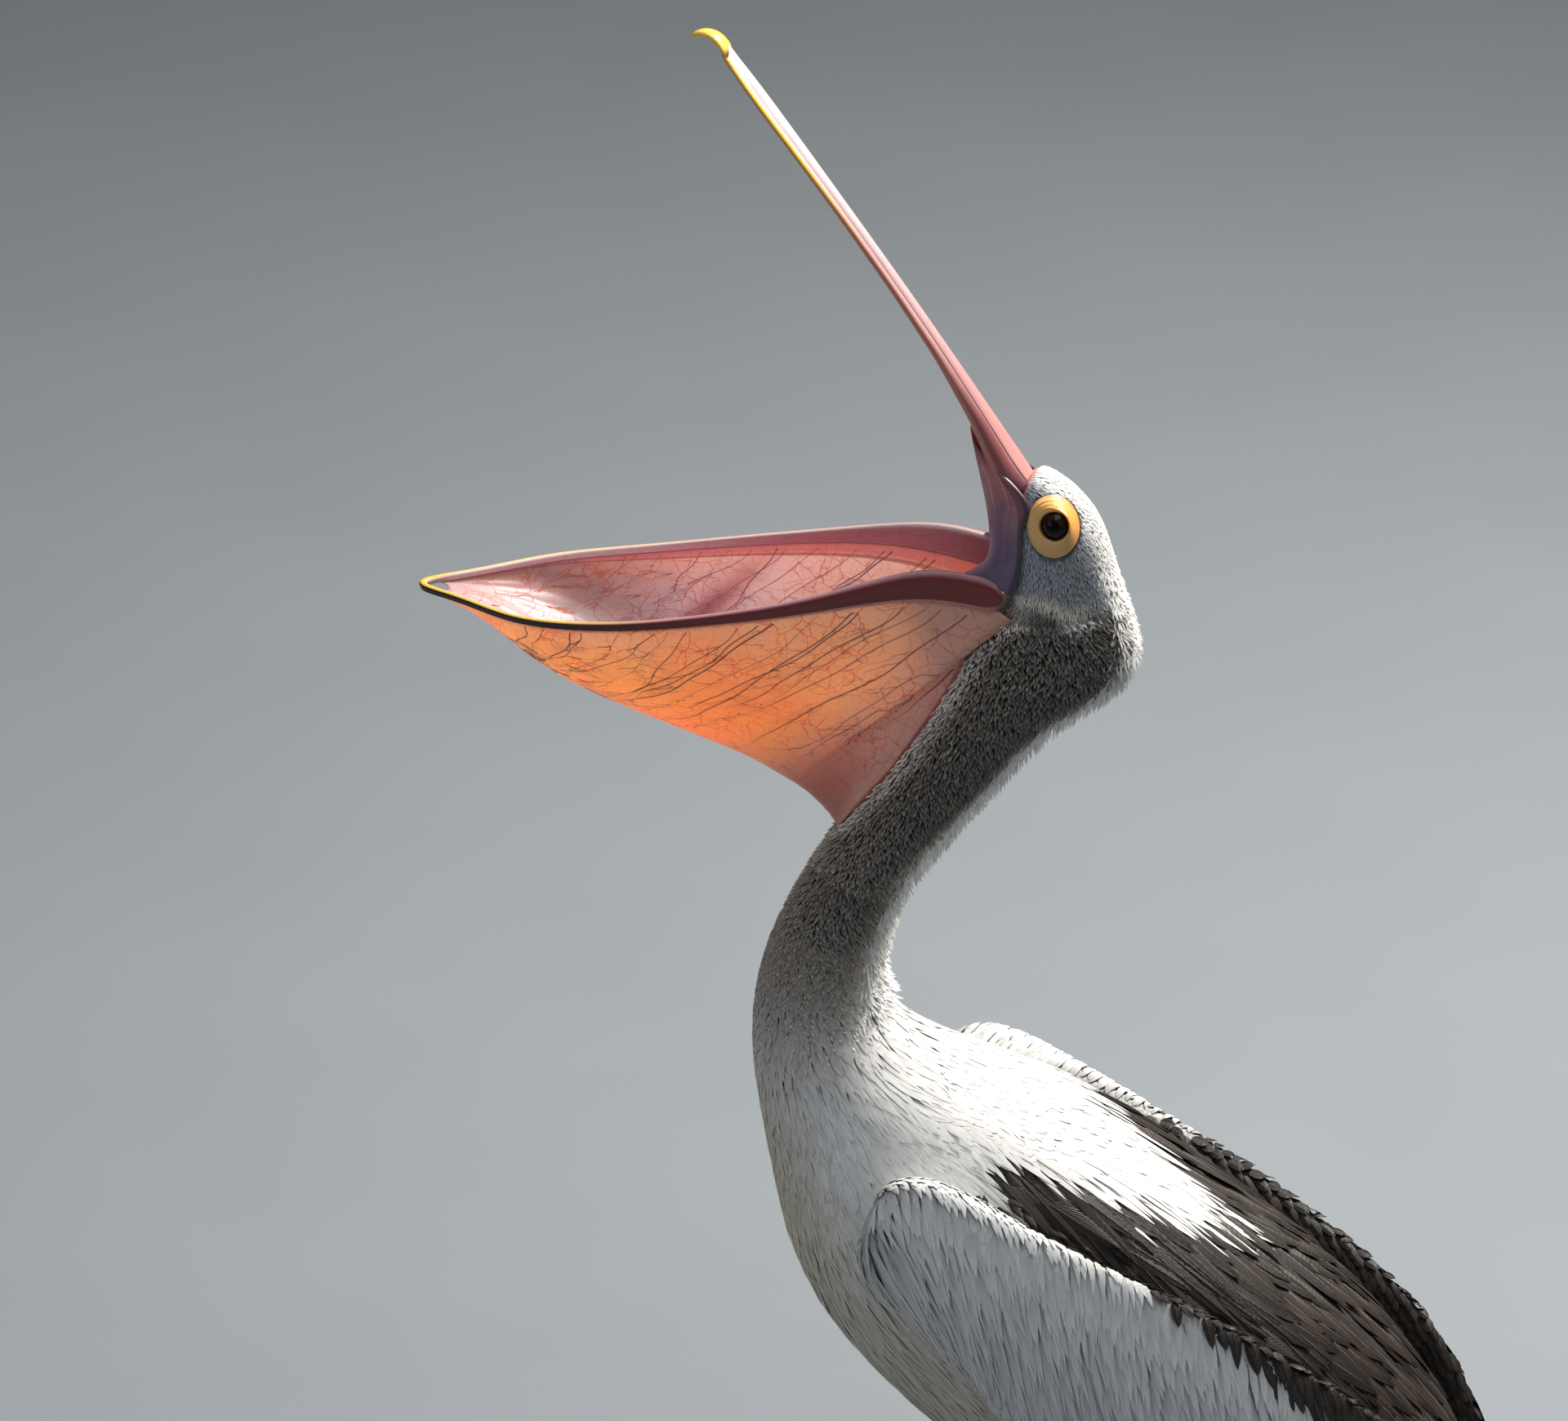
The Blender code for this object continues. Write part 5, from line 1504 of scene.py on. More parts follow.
# %% The pouch as a sheet
# Lowest line of the pouch, from the bill's tip to the foreneck: y, z.
KEEL = np.array([(-0.264, 0.071), (-0.216, 0.052), (-0.168, 0.020), (-0.122, -0.002), (-0.077, -0.020),
                 (-0.037, -0.036), (-0.007, -0.051), (0.017, -0.065), (0.034, -0.080), (0.044, -0.093)])
POUCH_ON_JAW, POUCH_END = 0.70, 0.985


def pouch_edge(share):
    """Left edge of the pouch: under the jaw's bar, then down the side of the neck."""
    row = spline(HOOP, (1.0 - np.minimum(share / POUCH_ON_JAW, 1.0)) * (HOOP_MIDDLE - 0.55))
    on_jaw = row[..., 0:3] - UPRIGHT * (row[..., 3] - 0.0002)[..., None]
    down = np.clip((share - POUCH_ON_JAW) / (1.0 - POUCH_ON_JAW), 0.0, 1.0)
    at = POUCH_FIRST + (POUCH_LAST - POUCH_FIRST) * down
    on_neck = body(at, pouch_border(at), 0.0006 + 0.0 * at)
    return np.where((share < POUCH_ON_JAW)[..., None], on_jaw, on_neck)


def pouch(share, turn):
    """Half ellipse from edge to edge: x with the sine of the turn, the drop with its cosine."""
    edge = pouch_edge(share)
    low = spline(KEEL, share * (len(KEEL) - 1.0))
    down = np.cos(turn)
    x = edge[..., 0] * np.sin(turn) * (1.0 + 0.07 * np.sin(2.0 * np.abs(turn)))
    y = edge[..., 1] + (low[..., 0] - edge[..., 1]) * down
    z = edge[..., 2] + (low[..., 1] - edge[..., 2]) * down
    return np.stack([x, y, z], -1)


POUCH_WALL = 0.0009
sheet_share, sheet_turn = np.meshgrid(np.linspace(0.0, POUCH_END, 200),
                                      np.linspace(-math.pi / 2.0, math.pi / 2.0, 141), indexing="ij")
sheet = pouch(sheet_share, sheet_turn)
slack = 0.0005 * ripple(sheet_share * 70.0, sheet_turn * 5.0, 3.0) * soft(sheet_share, 0.70, 0.85)
near_tip = (1.0 - soft(sheet_share, 0.16, 0.36)) * soft(sheet_share, 0.01, 0.06) * np.cos(sheet_turn)
slack = slack + 0.0010 * ripple(sheet_turn * 16.0, sheet_share * 22.0, 5.0) * near_tip
sheet_normal = unit(np.cross(np.gradient(sheet, axis=0), np.gradient(sheet, axis=1)))
sheet = sheet + sheet_normal * slack[..., None]
points, faces = shell(sheet, POUCH_WALL)
print("pouch points:", len(points), "wall:", POUCH_WALL)


# %% Colours of the pouch: orange low in front and salmon behind, partly painted light and shadow, pale inside with painted shade near the tip
def pouch_colour(share, turn, inside):
    """Colour by the place along the pouch, how low it hangs, and which face it is on."""
    low = np.cos(turn)
    colour = np.broadcast_to(np.array([0.96, 0.51, 0.43]), (*share.shape, 3))
    # Orange low in front and salmon behind: partly the skin's own colour, partly painted light, the front as
    # lit through and the back as in the head's shadow. The dark low at the back is painted shadow.
    colour = blend(colour, np.array([0.97, 0.36, 0.11]), low ** 0.8 * (1.0 - soft(share, 0.45, 0.85)))
    colour = blend(colour, np.array([0.88, 0.43, 0.36]), soft(share, 0.62, 0.80))
    colour = blend(colour, np.array([0.52, 0.20, 0.15]), soft(share, 0.60, 0.82) * soft(low, 0.45, 0.95))
    if inside:
        colour = blend(colour, np.array([0.72, 0.55, 0.68]), 0.85 - 0.35 * soft(share, 0.35, 0.7))
        # Painted shade: the pale inside is darkened near the tip.
        near = (1.0 - soft(share, 0.20, 0.44)) * (1.0 - 0.3 * low)
        colour = blend(colour, np.array([0.36, 0.27, 0.28]), near)
        # Painted shade: a dark line along a crease inside the pouch.
        bowed = 0.30 + 0.12 * (np.abs(turn) / 1.57)
        crease_shade = bell(share, bowed, 0.022) * bell(np.abs(turn), 0.95, 0.5)
        colour = blend(colour, np.array([0.17, 0.07, 0.12]), crease_shade * 0.85)
    return colour


# The shell's outer copy comes first, then the inner one.
sheet_tint = np.concatenate([pouch_colour(sheet_share, sheet_turn, inside).reshape(-1, 3)
                             for inside in (False, True)])
inside_face = np.repeat([0.0, 1.0], sheet_share.size)
twice = [np.tile(value.ravel(), 2) for value in (sheet_share, np.abs(sheet_turn) / (math.pi / 2.0))]

pouch_finish = Finish("pouch_skin", Roughness=0.42, Subsurface_Weight=0.95, Subsurface_Scale=0.006,
                      Subsurface_Radius=(1.0, 0.55, 0.32), Coat_Weight=0.08, Coat_Roughness=0.3)
spot = pouch_finish.place()
drift = spot.noise(25.0, 3.0)
bent = spot.shifted(spot.noise(40.0, output=1), 0.020)
share, edge, inside = [pouch_finish.value(key) for key in ("share", "edge", "inside")]
threads = 1.0 - bent.cells(62.0, "DISTANCE_TO_EDGE").step(0.0, 0.045)
finer = 1.0 - bent.cells(150.0, "DISTANCE_TO_EDGE").step(0.0, 0.07)
tint = pouch_finish.colour("plumage")
tint = ((threads * 0.55 + finer * 0.30) * drift.step(0.30, 0.62)).mix(tint, (0.42, 0.07, 0.05))
blush = spot.noise(9.0, 3.0)
tint = (blush.step(0.42, 0.70) * 0.25).mix(tint, (0.66, 0.18, 0.10))
under_rim = edge.step(0.945, 0.965) * (1.0 - share.step(0.66, 0.72)) * inside
tint = (under_rim * 0.85).mix(tint, (0.40, 0.15, 0.24))
rim_line = (1.0 - abs(edge - 0.948).step(0.003, 0.010)) * (1.0 - share.step(0.60, 0.72)) * inside
tint = (rim_line * 0.75).mix(tint, (0.16, 0.07, 0.10))
# Painted shade: a faint dark line along a fold near the back of the pouch.
fold = (1.0 - abs(edge - 0.80).step(0.004, 0.035)) * share.step(0.74, 0.90)
tint = (fold * 0.20).mix(tint, (0.24, 0.12, 0.16))
pouch_finish.set("Base Color", tint)
pores = spot.noise(380.0, 4.0)
wrinkles = pouch_finish.map("skin", (70.0, 9.0, 1.0)).noise(3.0, 5.0)
pouch_finish.relief(pores * 0.25 + threads * 0.5 + wrinkles * 0.8, 0.30, 0.0010)
sheet_values = {"share": twice[0], "edge": twice[1], "inside": inside_face, "plumage": sheet_tint}
add_piece("pouch_skin", points, faces, pouch_finish, "pouch_skin", ["pouch"], values=sheet_values,
          maps={"skin": np.stack(twice, -1)})

# %% [markdown]
# ## Veins
# Blood vessels fan out over the pouch. The large ones stand a little proud, so they are tubes set
# in the wall: main veins that run down from the jaw, and side veins that leave them at a slant.


# %% Veins as tubes in the wall
def tubes(paths, radii, sides=6):
    """Closed tubes along many paths at once: rings square to each path, closed at both ends."""
    count, steps = paths.shape[:2]
    ahead = unit(np.gradient(paths, axis=1))
    helper = np.where(np.abs(ahead[..., 2:3]) > 0.9, SIDEWAYS, UPRIGHT)
    first = unit(np.cross(ahead, helper))
    second = np.cross(ahead, first)
    turn = np.linspace(0.0, 2.0 * math.pi, sides, endpoint=False)
    ring = np.cos(turn)[:, None] * first[:, :, None] + np.sin(turn)[:, None] * second[:, :, None]
    rings = paths[:, :, None] + ring * radii[:, :, None, None]
    total = steps * sides
    points = np.concatenate([rings.reshape(count, -1, 3), paths[:, :1], paths[:, -1:]], axis=1)
    fans = end_fans(sides, 0, total, total - sides, total + 1)
    start = (np.arange(count) * (total + 2))[:, None, None]
    quads = grid_faces(steps, sides, True)[None] + start
    return points.reshape(-1, 3), [quads.reshape(-1, 4), (fans[None] + start).reshape(-1, 3)]


def vein_paths(start, steps):
    """Paths that wander over the pouch: share and turn run evenly, with soft waves across."""
    share, turn, run_share, run_turn, wave = [column[:, None] for column in start.T]
    t = np.linspace(0.0, 1.0, steps)
    bend = ripple(t * 9.0 + wave * 7.0, wave * 3.0 + 0.0 * t, 1.0) - ripple(wave * 7.0, wave * 3.0, 1.0)
    swing = bend * 0.014
    return share + run_share * t ** 1.25 + swing, turn + run_turn * t + 0.8 * swing * np.sign(turn)


def joined(parts):
    """Several lists of points and faces as one."""
    points = np.concatenate([p for p, _ in parts])
    offset = np.cumsum([0] + [len(p) for p, _ in parts[:-1]])
    quads = np.concatenate([f[0] + o for (_, f), o in zip(parts, offset)])
    fans = np.concatenate([f[1] + o for (_, f), o in zip(parts, offset)])
    return points, [quads, fans]


vein_luck = np.random.default_rng(21)
MAIN_VEINS, VEIN_RADIUS = 22, 0.00047
mains = []
for _, side in LEFT_RIGHT:
    heads = np.linspace(0.18, 0.80, MAIN_VEINS) + vein_luck.uniform(-0.014, 0.014, MAIN_VEINS)
    runs = -(0.05 + 0.24 * heads * (1.0 - soft(heads, 0.62, 0.80)))
    runs = runs * vein_luck.uniform(0.7, 1.3, MAIN_VEINS)
    down = -side * vein_luck.uniform(0.85, 1.38, MAIN_VEINS)
    wave = vein_luck.uniform(0.0, 9.0, MAIN_VEINS)
    mains.append(np.stack([heads, np.full(MAIN_VEINS, side * 1.53), runs, down, wave], -1))
mains = np.concatenate(mains)
lines = vein_paths(mains, 56)
fade = np.linspace(1.0, 0.0, 56) * vein_luck.uniform(0.2, 1.0, (len(mains), 1))
parts = [tubes(pouch(*lines), VEIN_RADIUS + 0.00026 * fade)]
for steps, each, reach, thick in ((20, 7, 1.0, 0.00010), (10, 6, 0.45, 0.00003)):
    rows, spots = lines[0].shape
    owner = np.repeat(np.arange(rows), each)
    at = vein_luck.integers(int(spots * 0.08), int(spots * 0.92), len(owner))
    share, turn = lines[0][owner, at], lines[1][owner, at]
    lean = vein_luck.choice([-1.0, 1.0], len(owner))
    starts = np.stack([share, turn, reach * 0.055 * lean * vein_luck.uniform(0.5, 1.2, len(owner)),
                       -np.sign(turn) * reach * 0.16 * vein_luck.uniform(0.4, 1.3, len(owner)),
                       vein_luck.uniform(0.0, 9.0, len(owner))], -1)
    lines = vein_paths(starts, steps)
    share, turn = lines
    inside = (share.max(axis=1) < 0.80) & (share.min(axis=1) > 0.12) & (np.abs(turn).min(axis=1) > 0.15)
    lines = (share[inside], turn[inside])
    fade = np.linspace(1.0, 0.0, steps) * np.ones((inside.sum(), 1))
    parts.append(tubes(pouch(*lines), VEIN_RADIUS + thick * fade, 5))
    lines = (lines[0][::2], lines[1][::2])
vein_finish = Finish("vein", Roughness=0.4, Subsurface_Weight=0.3, Subsurface_Scale=0.002)
mottle = vein_finish.place().noise(60.0)
vein_tint = mottle.mix((0.30, 0.050, 0.060), (0.42, 0.080, 0.075))
forward = 1.0 - vein_finish.value("back").step(-0.24, 0.02)
vein_finish.set("Base Color", (forward * 0.8).mix(vein_tint, (0.62, 0.17, 0.06)))
points, faces = joined(parts)
add_piece("pouch_veins", points, faces, vein_finish, "pouch_skin", values={"back": points[:, 1]})

# %% [markdown]
# ## Corners of the mouth
# A web of bare skin joins the bill to the jaw at each corner of the mouth. Stretched open it is a
# thin curved sheet with a rounded free edge, ridged along its length. It is a closed tube whose
# sections are flat, hollowed on the outside, and thicker at the free edge.

# %% The web at the corners of the mouth
# Along the face: x, y, z; along the free edge: x, y, z.
GAPE = np.array([
    (0.0035, 0.146, 0.2460, 0.0035, 0.1420, 0.2540),
    (0.0130, 0.161, 0.2315, 0.0130, 0.1470, 0.2410),
    (0.0250, 0.190, 0.2080, 0.0208, 0.1552, 0.2155),
    (0.0298, 0.189, 0.1896, 0.0240, 0.1605, 0.1925),
    (0.0324, 0.188, 0.1677, 0.0282, 0.1630, 0.1715),
    (0.0337, 0.186, 0.1480, 0.0318, 0.1590, 0.1580),
    (0.0337, 0.183, 0.1330, 0.0350, 0.1460, 0.1500),
])
GAPE_LAST = len(GAPE) - 1.0
# Where the bill's maroon cheek ends on the web: station, and place across from face to free edge.
CHEEK_END = [(0, 0.65), (1, 0.08), (2, -0.24), (3, -0.60), (4, -1.0)]


def gape_section(at, angle):
    """Flat oval from the face to the free edge, hollowed, with ridges along it."""
    row = spline(GAPE, at)
    back, front = row[..., 0:3], row[..., 3:6]
    across = np.cos(angle)
    thick = 0.0015 + 0.0009 * bell(across, 0.85, 0.25)
    hollow = 0.0032 * (1.0 - across ** 2) * np.sin(math.pi * np.clip(at / 7.5, 0.0, 1.0))
    swell = 0.0022 * soft(between(CHEEK_END, at) - across, 0.0, 0.45) * (1.0 - soft(at, 2.5, 4.0))
    ridges = 0.00025 * np.cos(across * 15.0) * np.sin(math.pi * np.clip(at / GAPE_LAST, 0.0, 1.0))
    sine = np.sin(angle)
    x = signed_power(sine, 0.7) * thick - hollow + (ridges + swell) * np.maximum(sine, 0.0)
    return (back + front) / 2.0 + (front - back) / 2.0 * across[..., None] + x[..., None] * SIDEWAYS


gape_at, gape_angle = around(0.0, GAPE_LAST, 70, 64)
gape_finish = Finish("gape_skin", Roughness=0.36, Subsurface_Weight=0.35, Subsurface_Scale=0.004,
                     Coat_Weight=0.2, Coat_Roughness=0.3)
down, front = gape_finish.value("down"), gape_finish.value("front")
tint = down.step(0.20, 0.75).mix((0.46, 0.17, 0.17), (0.16, 0.11, 0.19))
tint = (front.step(0.45, 0.95) * 0.6).mix(tint, (0.50, 0.27, 0.29))
lines = (front * 10.0 + gape_finish.place().noise(60.0) * 3.0).sine()
tint = (lines.step(0.90, 1.0) * (1.0 - down.step(0.30, 0.60)) * 0.5).mix(tint, (0.70, 0.48, 0.36))
tint = gape_finish.value("cheek").step(-0.02, 0.06).mix(tint, (0.23, 0.070, 0.075))
tint = ((1.0 - front.step(-0.80, -0.62)) * 0.85).mix(tint, (0.035, 0.022, 0.035))
blotch = gape_finish.place().noise(45.0, 4.0)
tint = (blotch.step(0.45, 0.7) * 0.35).mix(tint, (0.10, 0.05, 0.12))
gape_finish.set("Base Color", tint)
gape_finish.relief(blotch + lines * 0.2, 0.3, 0.0008)
web = gape_section(gape_at, gape_angle)
cheek = (between(CHEEK_END, gape_at) - np.cos(gape_angle)) * (np.sin(gape_angle) > -0.3)
web_values = all_with_ends(down=gape_at / GAPE_LAST, front=np.cos(gape_angle), cheek=cheek)
for side_name, side in LEFT_RIGHT:
    add_piece("mouth_corner_" + side_name, *closed_tube(mirrored(web, side)), gape_finish, "gape_skin",
              ["gape_" + side_name], values=web_values)

# %% [markdown]
# ## Eyes
# Each eye sits in a bare yellow ring whose inner rim is the lid. The ring is a closed band round the
# eye's axis: its section rises from the feathers, rolls over at the lid and tucks in against the
# ball. Small folds run round it above and behind, where the lid bunches up when the eye is open.

# %% The bare ring and the lids
LID_RADIUS = 0.0108
EYE_MIDDLE = np.array([0.0, 0.0012, 0.0008])
# The ring's section: place along it, share from the lid to the outline, lift off the head.
RING_PROFILE = np.array([
    (0.0, 1.03, -0.0010), (0.03, 1.02, 0.0004), (0.10, 0.96, 0.0016), (0.25, 0.75, 0.0034),
    (0.42, 0.40, 0.0036), (0.54, 0.12, 0.0033), (0.60, 0.02, 0.0022), (0.65, 0.0, 0.0006),
    (0.72, 0.06, -0.0020), (0.84, 0.50, -0.0024), (1.0, 0.98, -0.0024),
])


def seat(turn):
    """How far the ring's outline has to slide along the slanting line to meet the head."""
    second = unit(np.cross(SLIDE, UPRIGHT))
    frame_axes = np.stack([SLIDE, second, np.cross(SLIDE, second)])
    at, angle = np.meshgrid(np.linspace(0.0, 3.2, 200), np.linspace(0.4, math.pi + 0.6, 260), indexing="ij")
    off = (body(at.ravel(), angle.ravel()) - EYE_AT) @ frame_axes.T
    axes = eye_axes(1.0)
    outline = np.outer(np.cos(turn) * RING_LONG, axes[1]) + np.outer(np.sin(turn) * RING_HIGH, axes[2])
    spot = outline @ frame_axes.T
    gap = np.hypot(off[:, 1] - spot[:, 1:2], off[:, 2] - spot[:, 2:3]) + (off[:, 0] < -0.025) * 1.0
    slide = off[gap.argmin(axis=1), 0] - spot[:, 0]
    window = np.exp(-(np.arange(-12, 13) / 6.0) ** 2)
    ring = np.concatenate([slide[-12:], slide, slide[:12]])
    return np.convolve(ring, window / window.sum(), "valid")


RING_SIDES, RING_ROWS = 128, 72
RING_TURN = np.linspace(0.0, 2.0 * math.pi, RING_SIDES, False)
SEAT = np.minimum(seat(RING_TURN), 0.0) - 0.0006
print("the ring slides in by", SEAT.min().round(4), "to", SEAT.max().round(4))


def ring_section(turn, along, side):
    """Band round the eye: from the outline (0) over the lid (0.6) and back underneath (1)."""
    axes = eye_axes(side)
    centre = eye_middle(side)
    share, lift = [between(RING_PROFILE[:, [0, column]], along) for column in (1, 2)]
    sunk = (SEAT[:, None] - 0.0010 * (side < 0.0)) * soft(share, 0.05, 1.0)
    behind = 0.5 + 0.5 * np.cos(turn - math.radians(40.0))
    folds = np.sin(share * 30.0 + 1.2 * np.sin(turn * 2.0)) * (share < 0.8) * (share > 0.04) * (along < 0.58)
    lift = lift + 0.00045 * folds * behind ** 2
    lid = LID_RADIUS * (1.0 - 0.10 * np.maximum(np.sin(turn - 0.5), 0.0) ** 2)
    forward = EYE_MIDDLE[1] * (1.0 - share) + np.cos(turn) * (lid + (RING_LONG - lid) * share)
    upward = EYE_MIDDLE[2] * (1.0 - share) + np.sin(turn) * (lid + (RING_HIGH - lid) * share)
    points = centre + sum(axis * off[..., None] for axis, off in zip(axes, (lift, forward, upward)))
    return points + sunk[..., None] * mirrored(SLIDE, side), share, behind


ring_finish = Finish("orbital_skin", Roughness=0.40, Subsurface_Weight=0.25, Subsurface_Scale=0.003,
                     Coat_Weight=0.15, Coat_Roughness=0.3)
out, behind = ring_finish.value("out"), ring_finish.value("behind")
tint = behind.step(0.2, 0.95).mix((0.72, 0.44, 0.17), (0.76, 0.35, 0.07))
grain = ring_finish.place().noise(260.0, 4.0)
tint = (grain.step(0.40, 0.75) * 0.40).mix(tint, (0.78, 0.40, 0.10))
# Painted shade: the ring turns brown next to the lid, as if in the lid's shade.
tint = ((1.0 - out.step(0.02, 0.12)) * 0.85).mix(tint, (0.20, 0.085, 0.03))
tint = out.step(0.93, 0.985).mix(tint, (0.055, 0.030, 0.045))
ring_finish.set("Base Color", tint)
creases = (out * 34.0 + grain * 4.0).sine()
ring_finish.relief(creases * behind + grain, 0.35, 0.0006)
turn, along = np.meshgrid(RING_TURN, np.linspace(0.0, 1.0, RING_ROWS, False), indexing="ij")
band_faces = grid_faces(RING_SIDES + 1, RING_ROWS, True) % (RING_SIDES * RING_ROWS)
for side_name, side in LEFT_RIGHT:
    band, share, behind = ring_section(turn, along, side)
    add_piece("eye_ring_" + side_name, band.reshape(-1, 3), [band_faces], ring_finish, "orbital_skin",
              ["orbital_ring_" + side_name], values={"out": share.ravel(), "behind": behind.ravel()})

# %% Eyeballs: dark brown iris, black pupil, wet surface
eye_finish = Finish("eye", Roughness=0.03, Specular_IOR_Level=0.14)
centre = eye_finish.value("centre")
rays = eye_finish.place().noise(420.0, 3.0)
iris = rays.mix((0.008, 0.004, 0.003), (0.034, 0.015, 0.007))
iris = (1.0 - centre.step(0.42, 0.50)).mix(iris, (0.002, 0.002, 0.002))
eye_finish.set("Base Color", centre.step(0.93, 1.02).mix(iris, (0.02, 0.012, 0.01)))
BALL_RADIUS, BALL_SUNK = 0.0128, 0.0066
lat, lon = around(0.04, math.pi - 0.04, 48, 64)
bulge = 1.0 + 0.05 * bell(lat, 0.0, 0.5)
ways = (np.cos(lat), np.sin(lat) * np.cos(lon), np.sin(lat) * np.sin(lon))
ball_values = all_with_ends(centre=np.sin(np.minimum(lat, math.pi / 2.0)) / 0.85)
for side_name, side in LEFT_RIGHT:
    axes = eye_axes(side)
    middle = eye_middle(side) + EYE_MIDDLE - axes[0] * BALL_SUNK
    outward_way = sum(way[..., None] * axis for way, axis in zip(ways, axes))
    ball = middle + BALL_RADIUS * bulge[..., None] * outward_way
    add_piece("eyeball_" + side_name, *closed_tube(ball), eye_finish, "eye", ["eye_" + side_name],
              values=ball_values)

# %% [markdown]
# ## Legs and feet
# The legs are bare slate blue skin covered in small scales. All four toes are joined by webs. A
# foot is one surface in polar form round its pad, high over the toes and thin over the webs, with a
# flat sole. The scales are relief in the finish, because they are shallow and very many.

# %% The foot as a polar surface
FOOT_AT = np.array([0.066, 0.282, FLOOR])
# Each toe's heading from straight ahead in degrees, and its length.
TOES = np.array([(-78.0, 0.052), (-24.0, 0.092), (6.0, 0.118), (33.0, 0.110)])
HEEL_RADIUS = 0.013


def foot_reach(heading):
    """Distance from the pad to the foot's edge: toe tips with scalloped webs between."""
    first, last = TOES[0, 0] - 16.0, TOES[-1, 0] + 13.0
    straight = between([(first, HEEL_RADIUS), *TOES, (last, HEEL_RADIUS)], heading)
    nearest = np.abs(heading[..., None] - TOES[:, 0]).min(axis=-1)
    scallop = 0.20 * np.sin(np.minimum(nearest / 13.0, 1.0) * math.pi / 2.0)
    webbed = (heading > TOES[0, 0]) & (heading < TOES[-1, 0])
    return straight * (1.0 - np.where(webbed, scallop, 0.0))


def foot_height(far, heading):
    """Height at a distance and heading: thin web, toes that swell and taper, and the pad."""
    off = far[..., None] * np.abs(np.sin(np.radians(heading[..., None] - TOES[:, 0])))
    near = np.abs(heading[..., None] - TOES[:, 0]) < 60.0
    joints = 1.0 + 0.10 * np.cos(far[..., None] * 260.0)
    taper = 0.0085 * (1.0 - 0.45 * far[..., None] / TOES[:, 1])
    high = taper * joints * np.exp(-(off / 0.0058) ** 2) * near
    pad = 0.0156 / (1.0 + np.exp((far - 0.019) / 0.0035))
    return np.maximum(0.0022 + high.max(axis=-1), pad)


scale_finish = Finish("leg_skin", Roughness=0.55)
plates = scale_finish.place((1.0, 1.0, 0.8)).cells(230.0, "DISTANCE_TO_EDGE")
tint = plates.step(0.0, 0.16).mix((0.055, 0.062, 0.080), (0.22, 0.25, 0.31))
patchy = scale_finish.place().noise(40.0, 3.0)
tint = (patchy.step(0.45, 0.7) * 0.45).mix(tint, (0.33, 0.32, 0.33))
scale_finish.set("Base Color", tint)
scale_finish.relief(plates, 0.6, 0.0014)
claw_finish = Finish("claw_horn", Roughness=0.35)
claw_grain = claw_finish.place((1.0, 1.0, 6.0)).noise(300.0)
claw_finish.set("Base Color", claw_grain.mix((0.020, 0.018, 0.016), (0.10, 0.085, 0.07)))

TOP_RINGS = 48
rings = np.concatenate([np.linspace(0.02, 1.0, TOP_RINGS), [1.0, 0.5, 0.02]])
headings = np.sort(np.concatenate([np.linspace(-180.0, 180.0, 240, endpoint=False), TOES[:, 0] + 0.01]))
ring, heading = np.meshgrid(rings, headings, indexing="ij")
far = foot_reach(heading) * ring
top = (np.arange(len(rings)) < TOP_RINGS)[:, None]
turn = np.radians(heading)
rise = np.where(top, foot_height(far, heading), 0.0004)
foot = np.stack([far * np.sin(turn), -far * np.cos(turn), rise], -1) + FOOT_AT
t = np.linspace(0.0, 1.0, 14)
toe_turn = np.radians(TOES[:, 0])
toe_way = np.stack([np.sin(toe_turn), -np.cos(toe_turn), 0.0 * toe_turn], -1)
start = FOOT_AT + toe_way * (TOES[:, 1:] - 0.004)
claws = start[:, None] + toe_way[:, None] * (0.0150 * t)[:, None]
claws[..., 2] += 0.0044 - 0.0028 * t ** 2
radii = np.tile(0.0004 + 0.0026 * (1.0 - t) ** 0.8, (4, 1))
for side_name, side in LEFT_RIGHT:
    add_piece("webbed_foot_" + side_name, *closed_tube(mirrored(foot, side)), scale_finish, "leg_skin",
              ["foot_" + side_name])
    add_piece("claws_" + side_name, *tubes(mirrored(claws, side), radii, 12), claw_finish, "claw_horn",
              ["claw_%s_%d" % (side_name, n) for n in range(1, 5)])

# %% The bare leg, swelling at the hock and above the foot
# From the hock to the foot: half width, half depth.
LEG_ROWS = np.array([(0.0110, 0.0135), (0.0104, 0.0124), (0.0082, 0.0102), (0.0070, 0.0090),
                     (0.0067, 0.0087), (0.0070, 0.0088), (0.0088, 0.0100), (0.0104, 0.0114)])
LEG_LAST = len(LEG_ROWS) - 1.0
leg_at, leg_angle = around(-0.15, LEG_LAST, 90, 48)
row = spline(LEG_ROWS, np.maximum(leg_at, 0.0))
leg_foot = FOOT_AT + np.array([0.0, 0.0, 0.0150])
sine = np.sin(leg_angle)
shin = 1.0 - 0.12 * (sine < 0.0) * np.abs(sine)
scutes = 1.0 + 0.025 * np.abs(np.sin(leg_at * 9.0)) * (sine < 0.3)
spread = np.stack([row[..., 0] * np.cos(leg_angle) * scutes, row[..., 1] * sine * shin * scutes,
                   0.0 * leg_at], -1)
leg = HOCK + (leg_foot - HOCK) * (leg_at / LEG_LAST)[..., None] + spread
for side_name, side in LEFT_RIGHT:
    add_piece("shin_" + side_name, *closed_tube(mirrored(leg, side)), scale_finish, "leg_skin",
              ["tarsus_" + side_name])

# %% [markdown]
# ## Floor, light and camera
# The model stands on a plain pale disc. One warm, fairly soft lamp stands high behind the bird on
# its right, so that it rims the nape, whitens the back and shines through the pouch. A wide
# lamp overhead softens it, and a weak cool lamp fills the near side. The camera uses a long lens,
# which keeps the shapes unstretched.

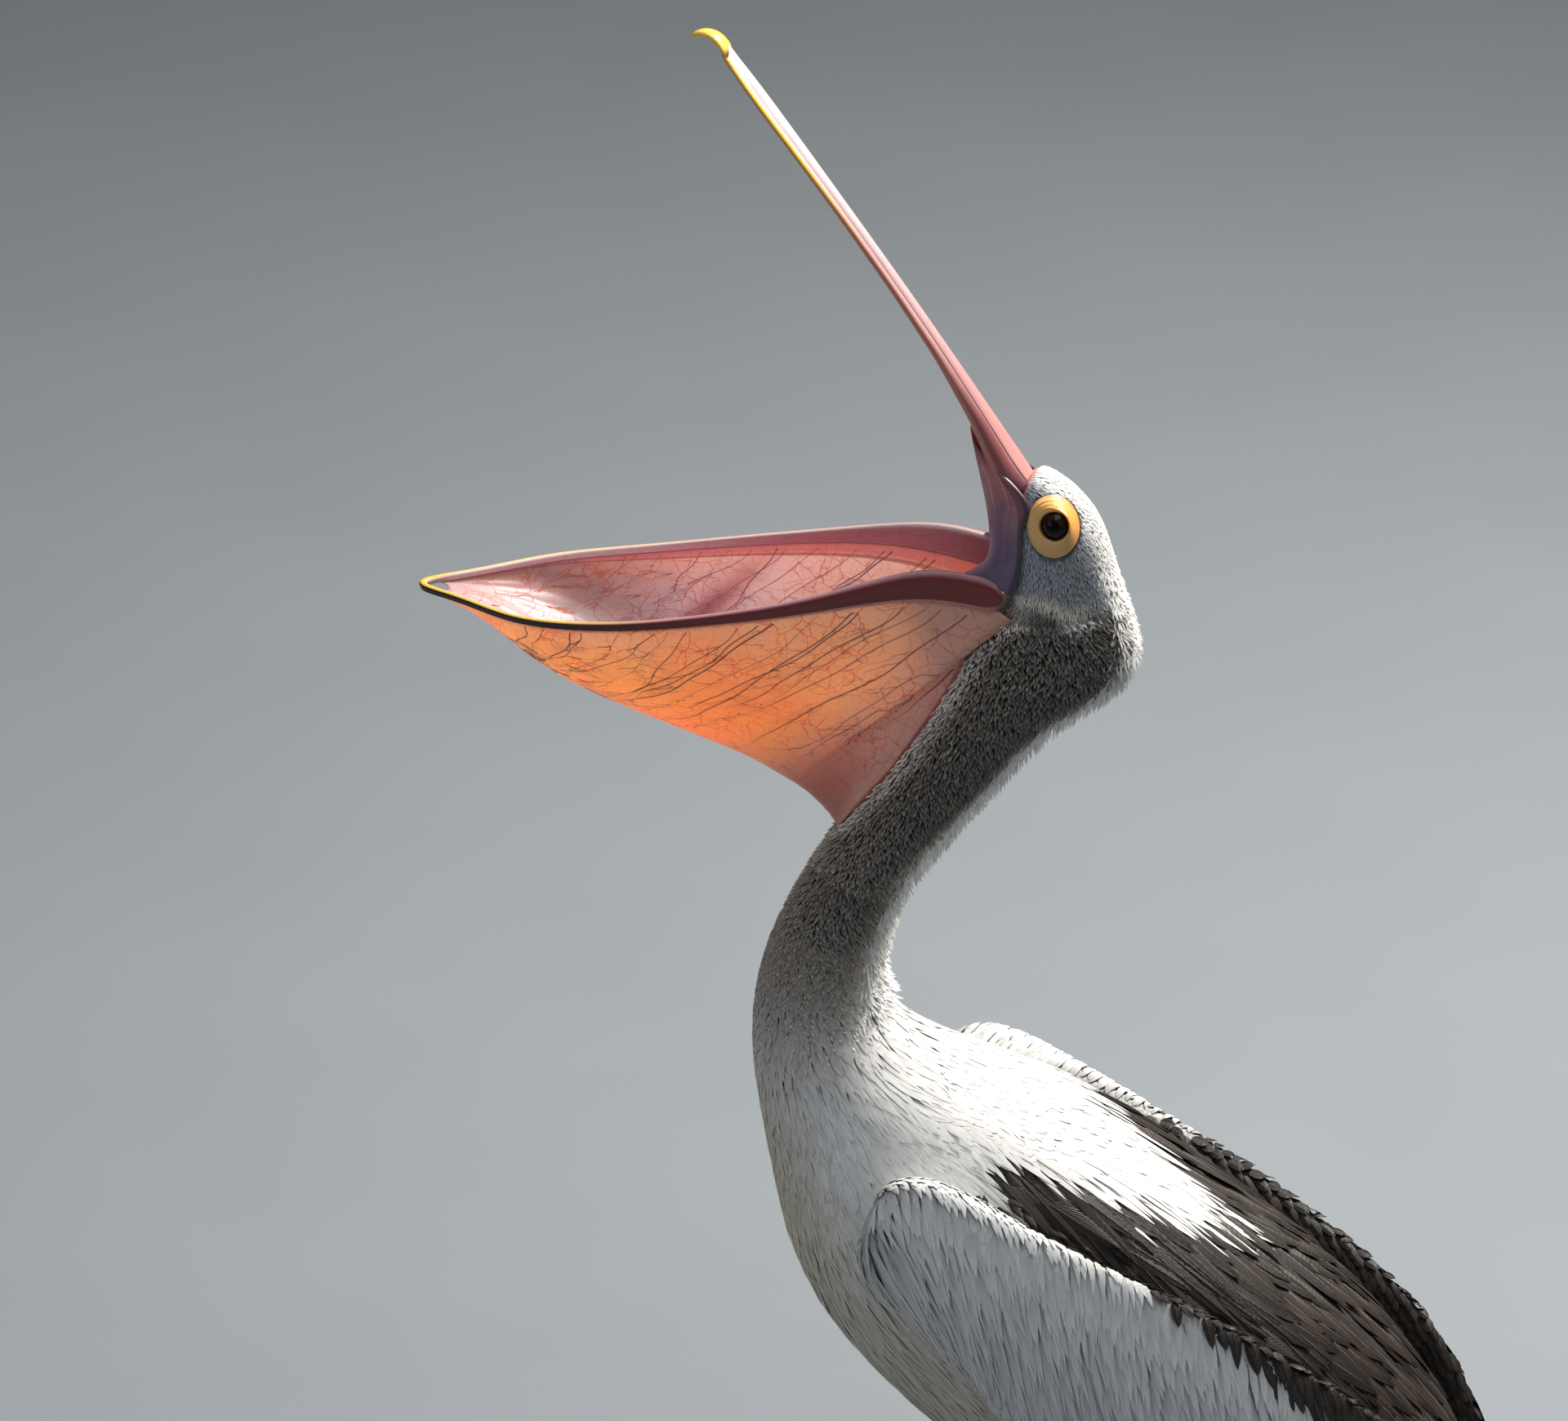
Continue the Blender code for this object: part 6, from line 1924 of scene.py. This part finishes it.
# %% A plain pale floor
floor_mesh = bpy.data.meshes.new("floor")
floor_work = bmesh.new()
bmesh.ops.create_circle(floor_work, cap_ends=True, segments=96, radius=9.0)
floor_work.to_mesh(floor_mesh)
floor_work.free()
floor = add_object("floor", floor_mesh)
floor_finish = Finish("plain_floor", Roughness=0.9)
mottle = floor_finish.place().noise(3.0)
floor_finish.set("Base Color", mottle.mix((0.24, 0.265, 0.29), (0.27, 0.295, 0.32)))
floor_mesh.materials.append(floor_finish.material)
floor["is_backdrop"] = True


# %% Lamps and the room's light
def aim(thing, place, target):
    """Puts a lamp or a camera somewhere and turns its back away from what it looks at."""
    thing.location = place
    thing.rotation_euler = Vector(place - target).to_track_quat("Z", "Y").to_euler()


def lamp(name, direction, distance, size, power, colour):
    """Soft square lamp that lights the throat from a direction."""
    data = bpy.data.lights.new(name, "AREA")
    data.size, data.energy, data.color = size, power, colour
    thing = add_object(name, data)
    aim(thing, THROAT + unit(np.array(direction)) * distance, THROAT)


lamp("warm_key", (-0.37, 0.45, 0.81), 3.5, 1.1, 262.0, (1.0, 0.95, 0.88))
lamp("top_light", (0.22, 0.10, 0.97), 4.0, 2.2, 52.0, (0.95, 0.98, 1.0))
lamp("soft_fill", (0.80, -0.9, 0.35), 4.0, 2.4, 17.0, (0.92, 0.95, 1.0))
world = bpy.data.worlds.new("pale_room")
world.use_nodes = True
world.node_tree.nodes["Background"].inputs["Color"].default_value = (0.60, 0.70, 0.82, 1.0)
world.node_tree.nodes["Background"].inputs["Strength"].default_value = 0.14
bpy.context.scene.world = world
bpy.context.scene.view_settings.view_transform = "Standard"

# %% Camera: from the bird's left, a little behind the side, and above
AZIMUTH, ELEVATION, DISTANCE = math.radians(104.0), math.radians(27.0), 4.63
back = np.array([math.sin(AZIMUTH) * math.cos(ELEVATION), -math.cos(AZIMUTH) * math.cos(ELEVATION),
                 math.sin(ELEVATION)])
lens = bpy.data.cameras.new("camera")
lens.lens, lens.sensor_width, lens.sensor_fit = 140.0, 36.0, "HORIZONTAL"
camera = add_object("camera", lens)
aim(camera, THROAT + back * DISTANCE, THROAT)
bpy.context.scene.camera = camera

# %% Sizes of the packed and the dressed model
low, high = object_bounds()
{"cad": [list(cad_low), list(cad_high)], "visual": [list(low), list(high)]}
print("packed model:", [round(v, 3) for v in (*cad_low, *cad_high)])
print("dressed model:", [round(v, 3) for v in (*low, *high)])
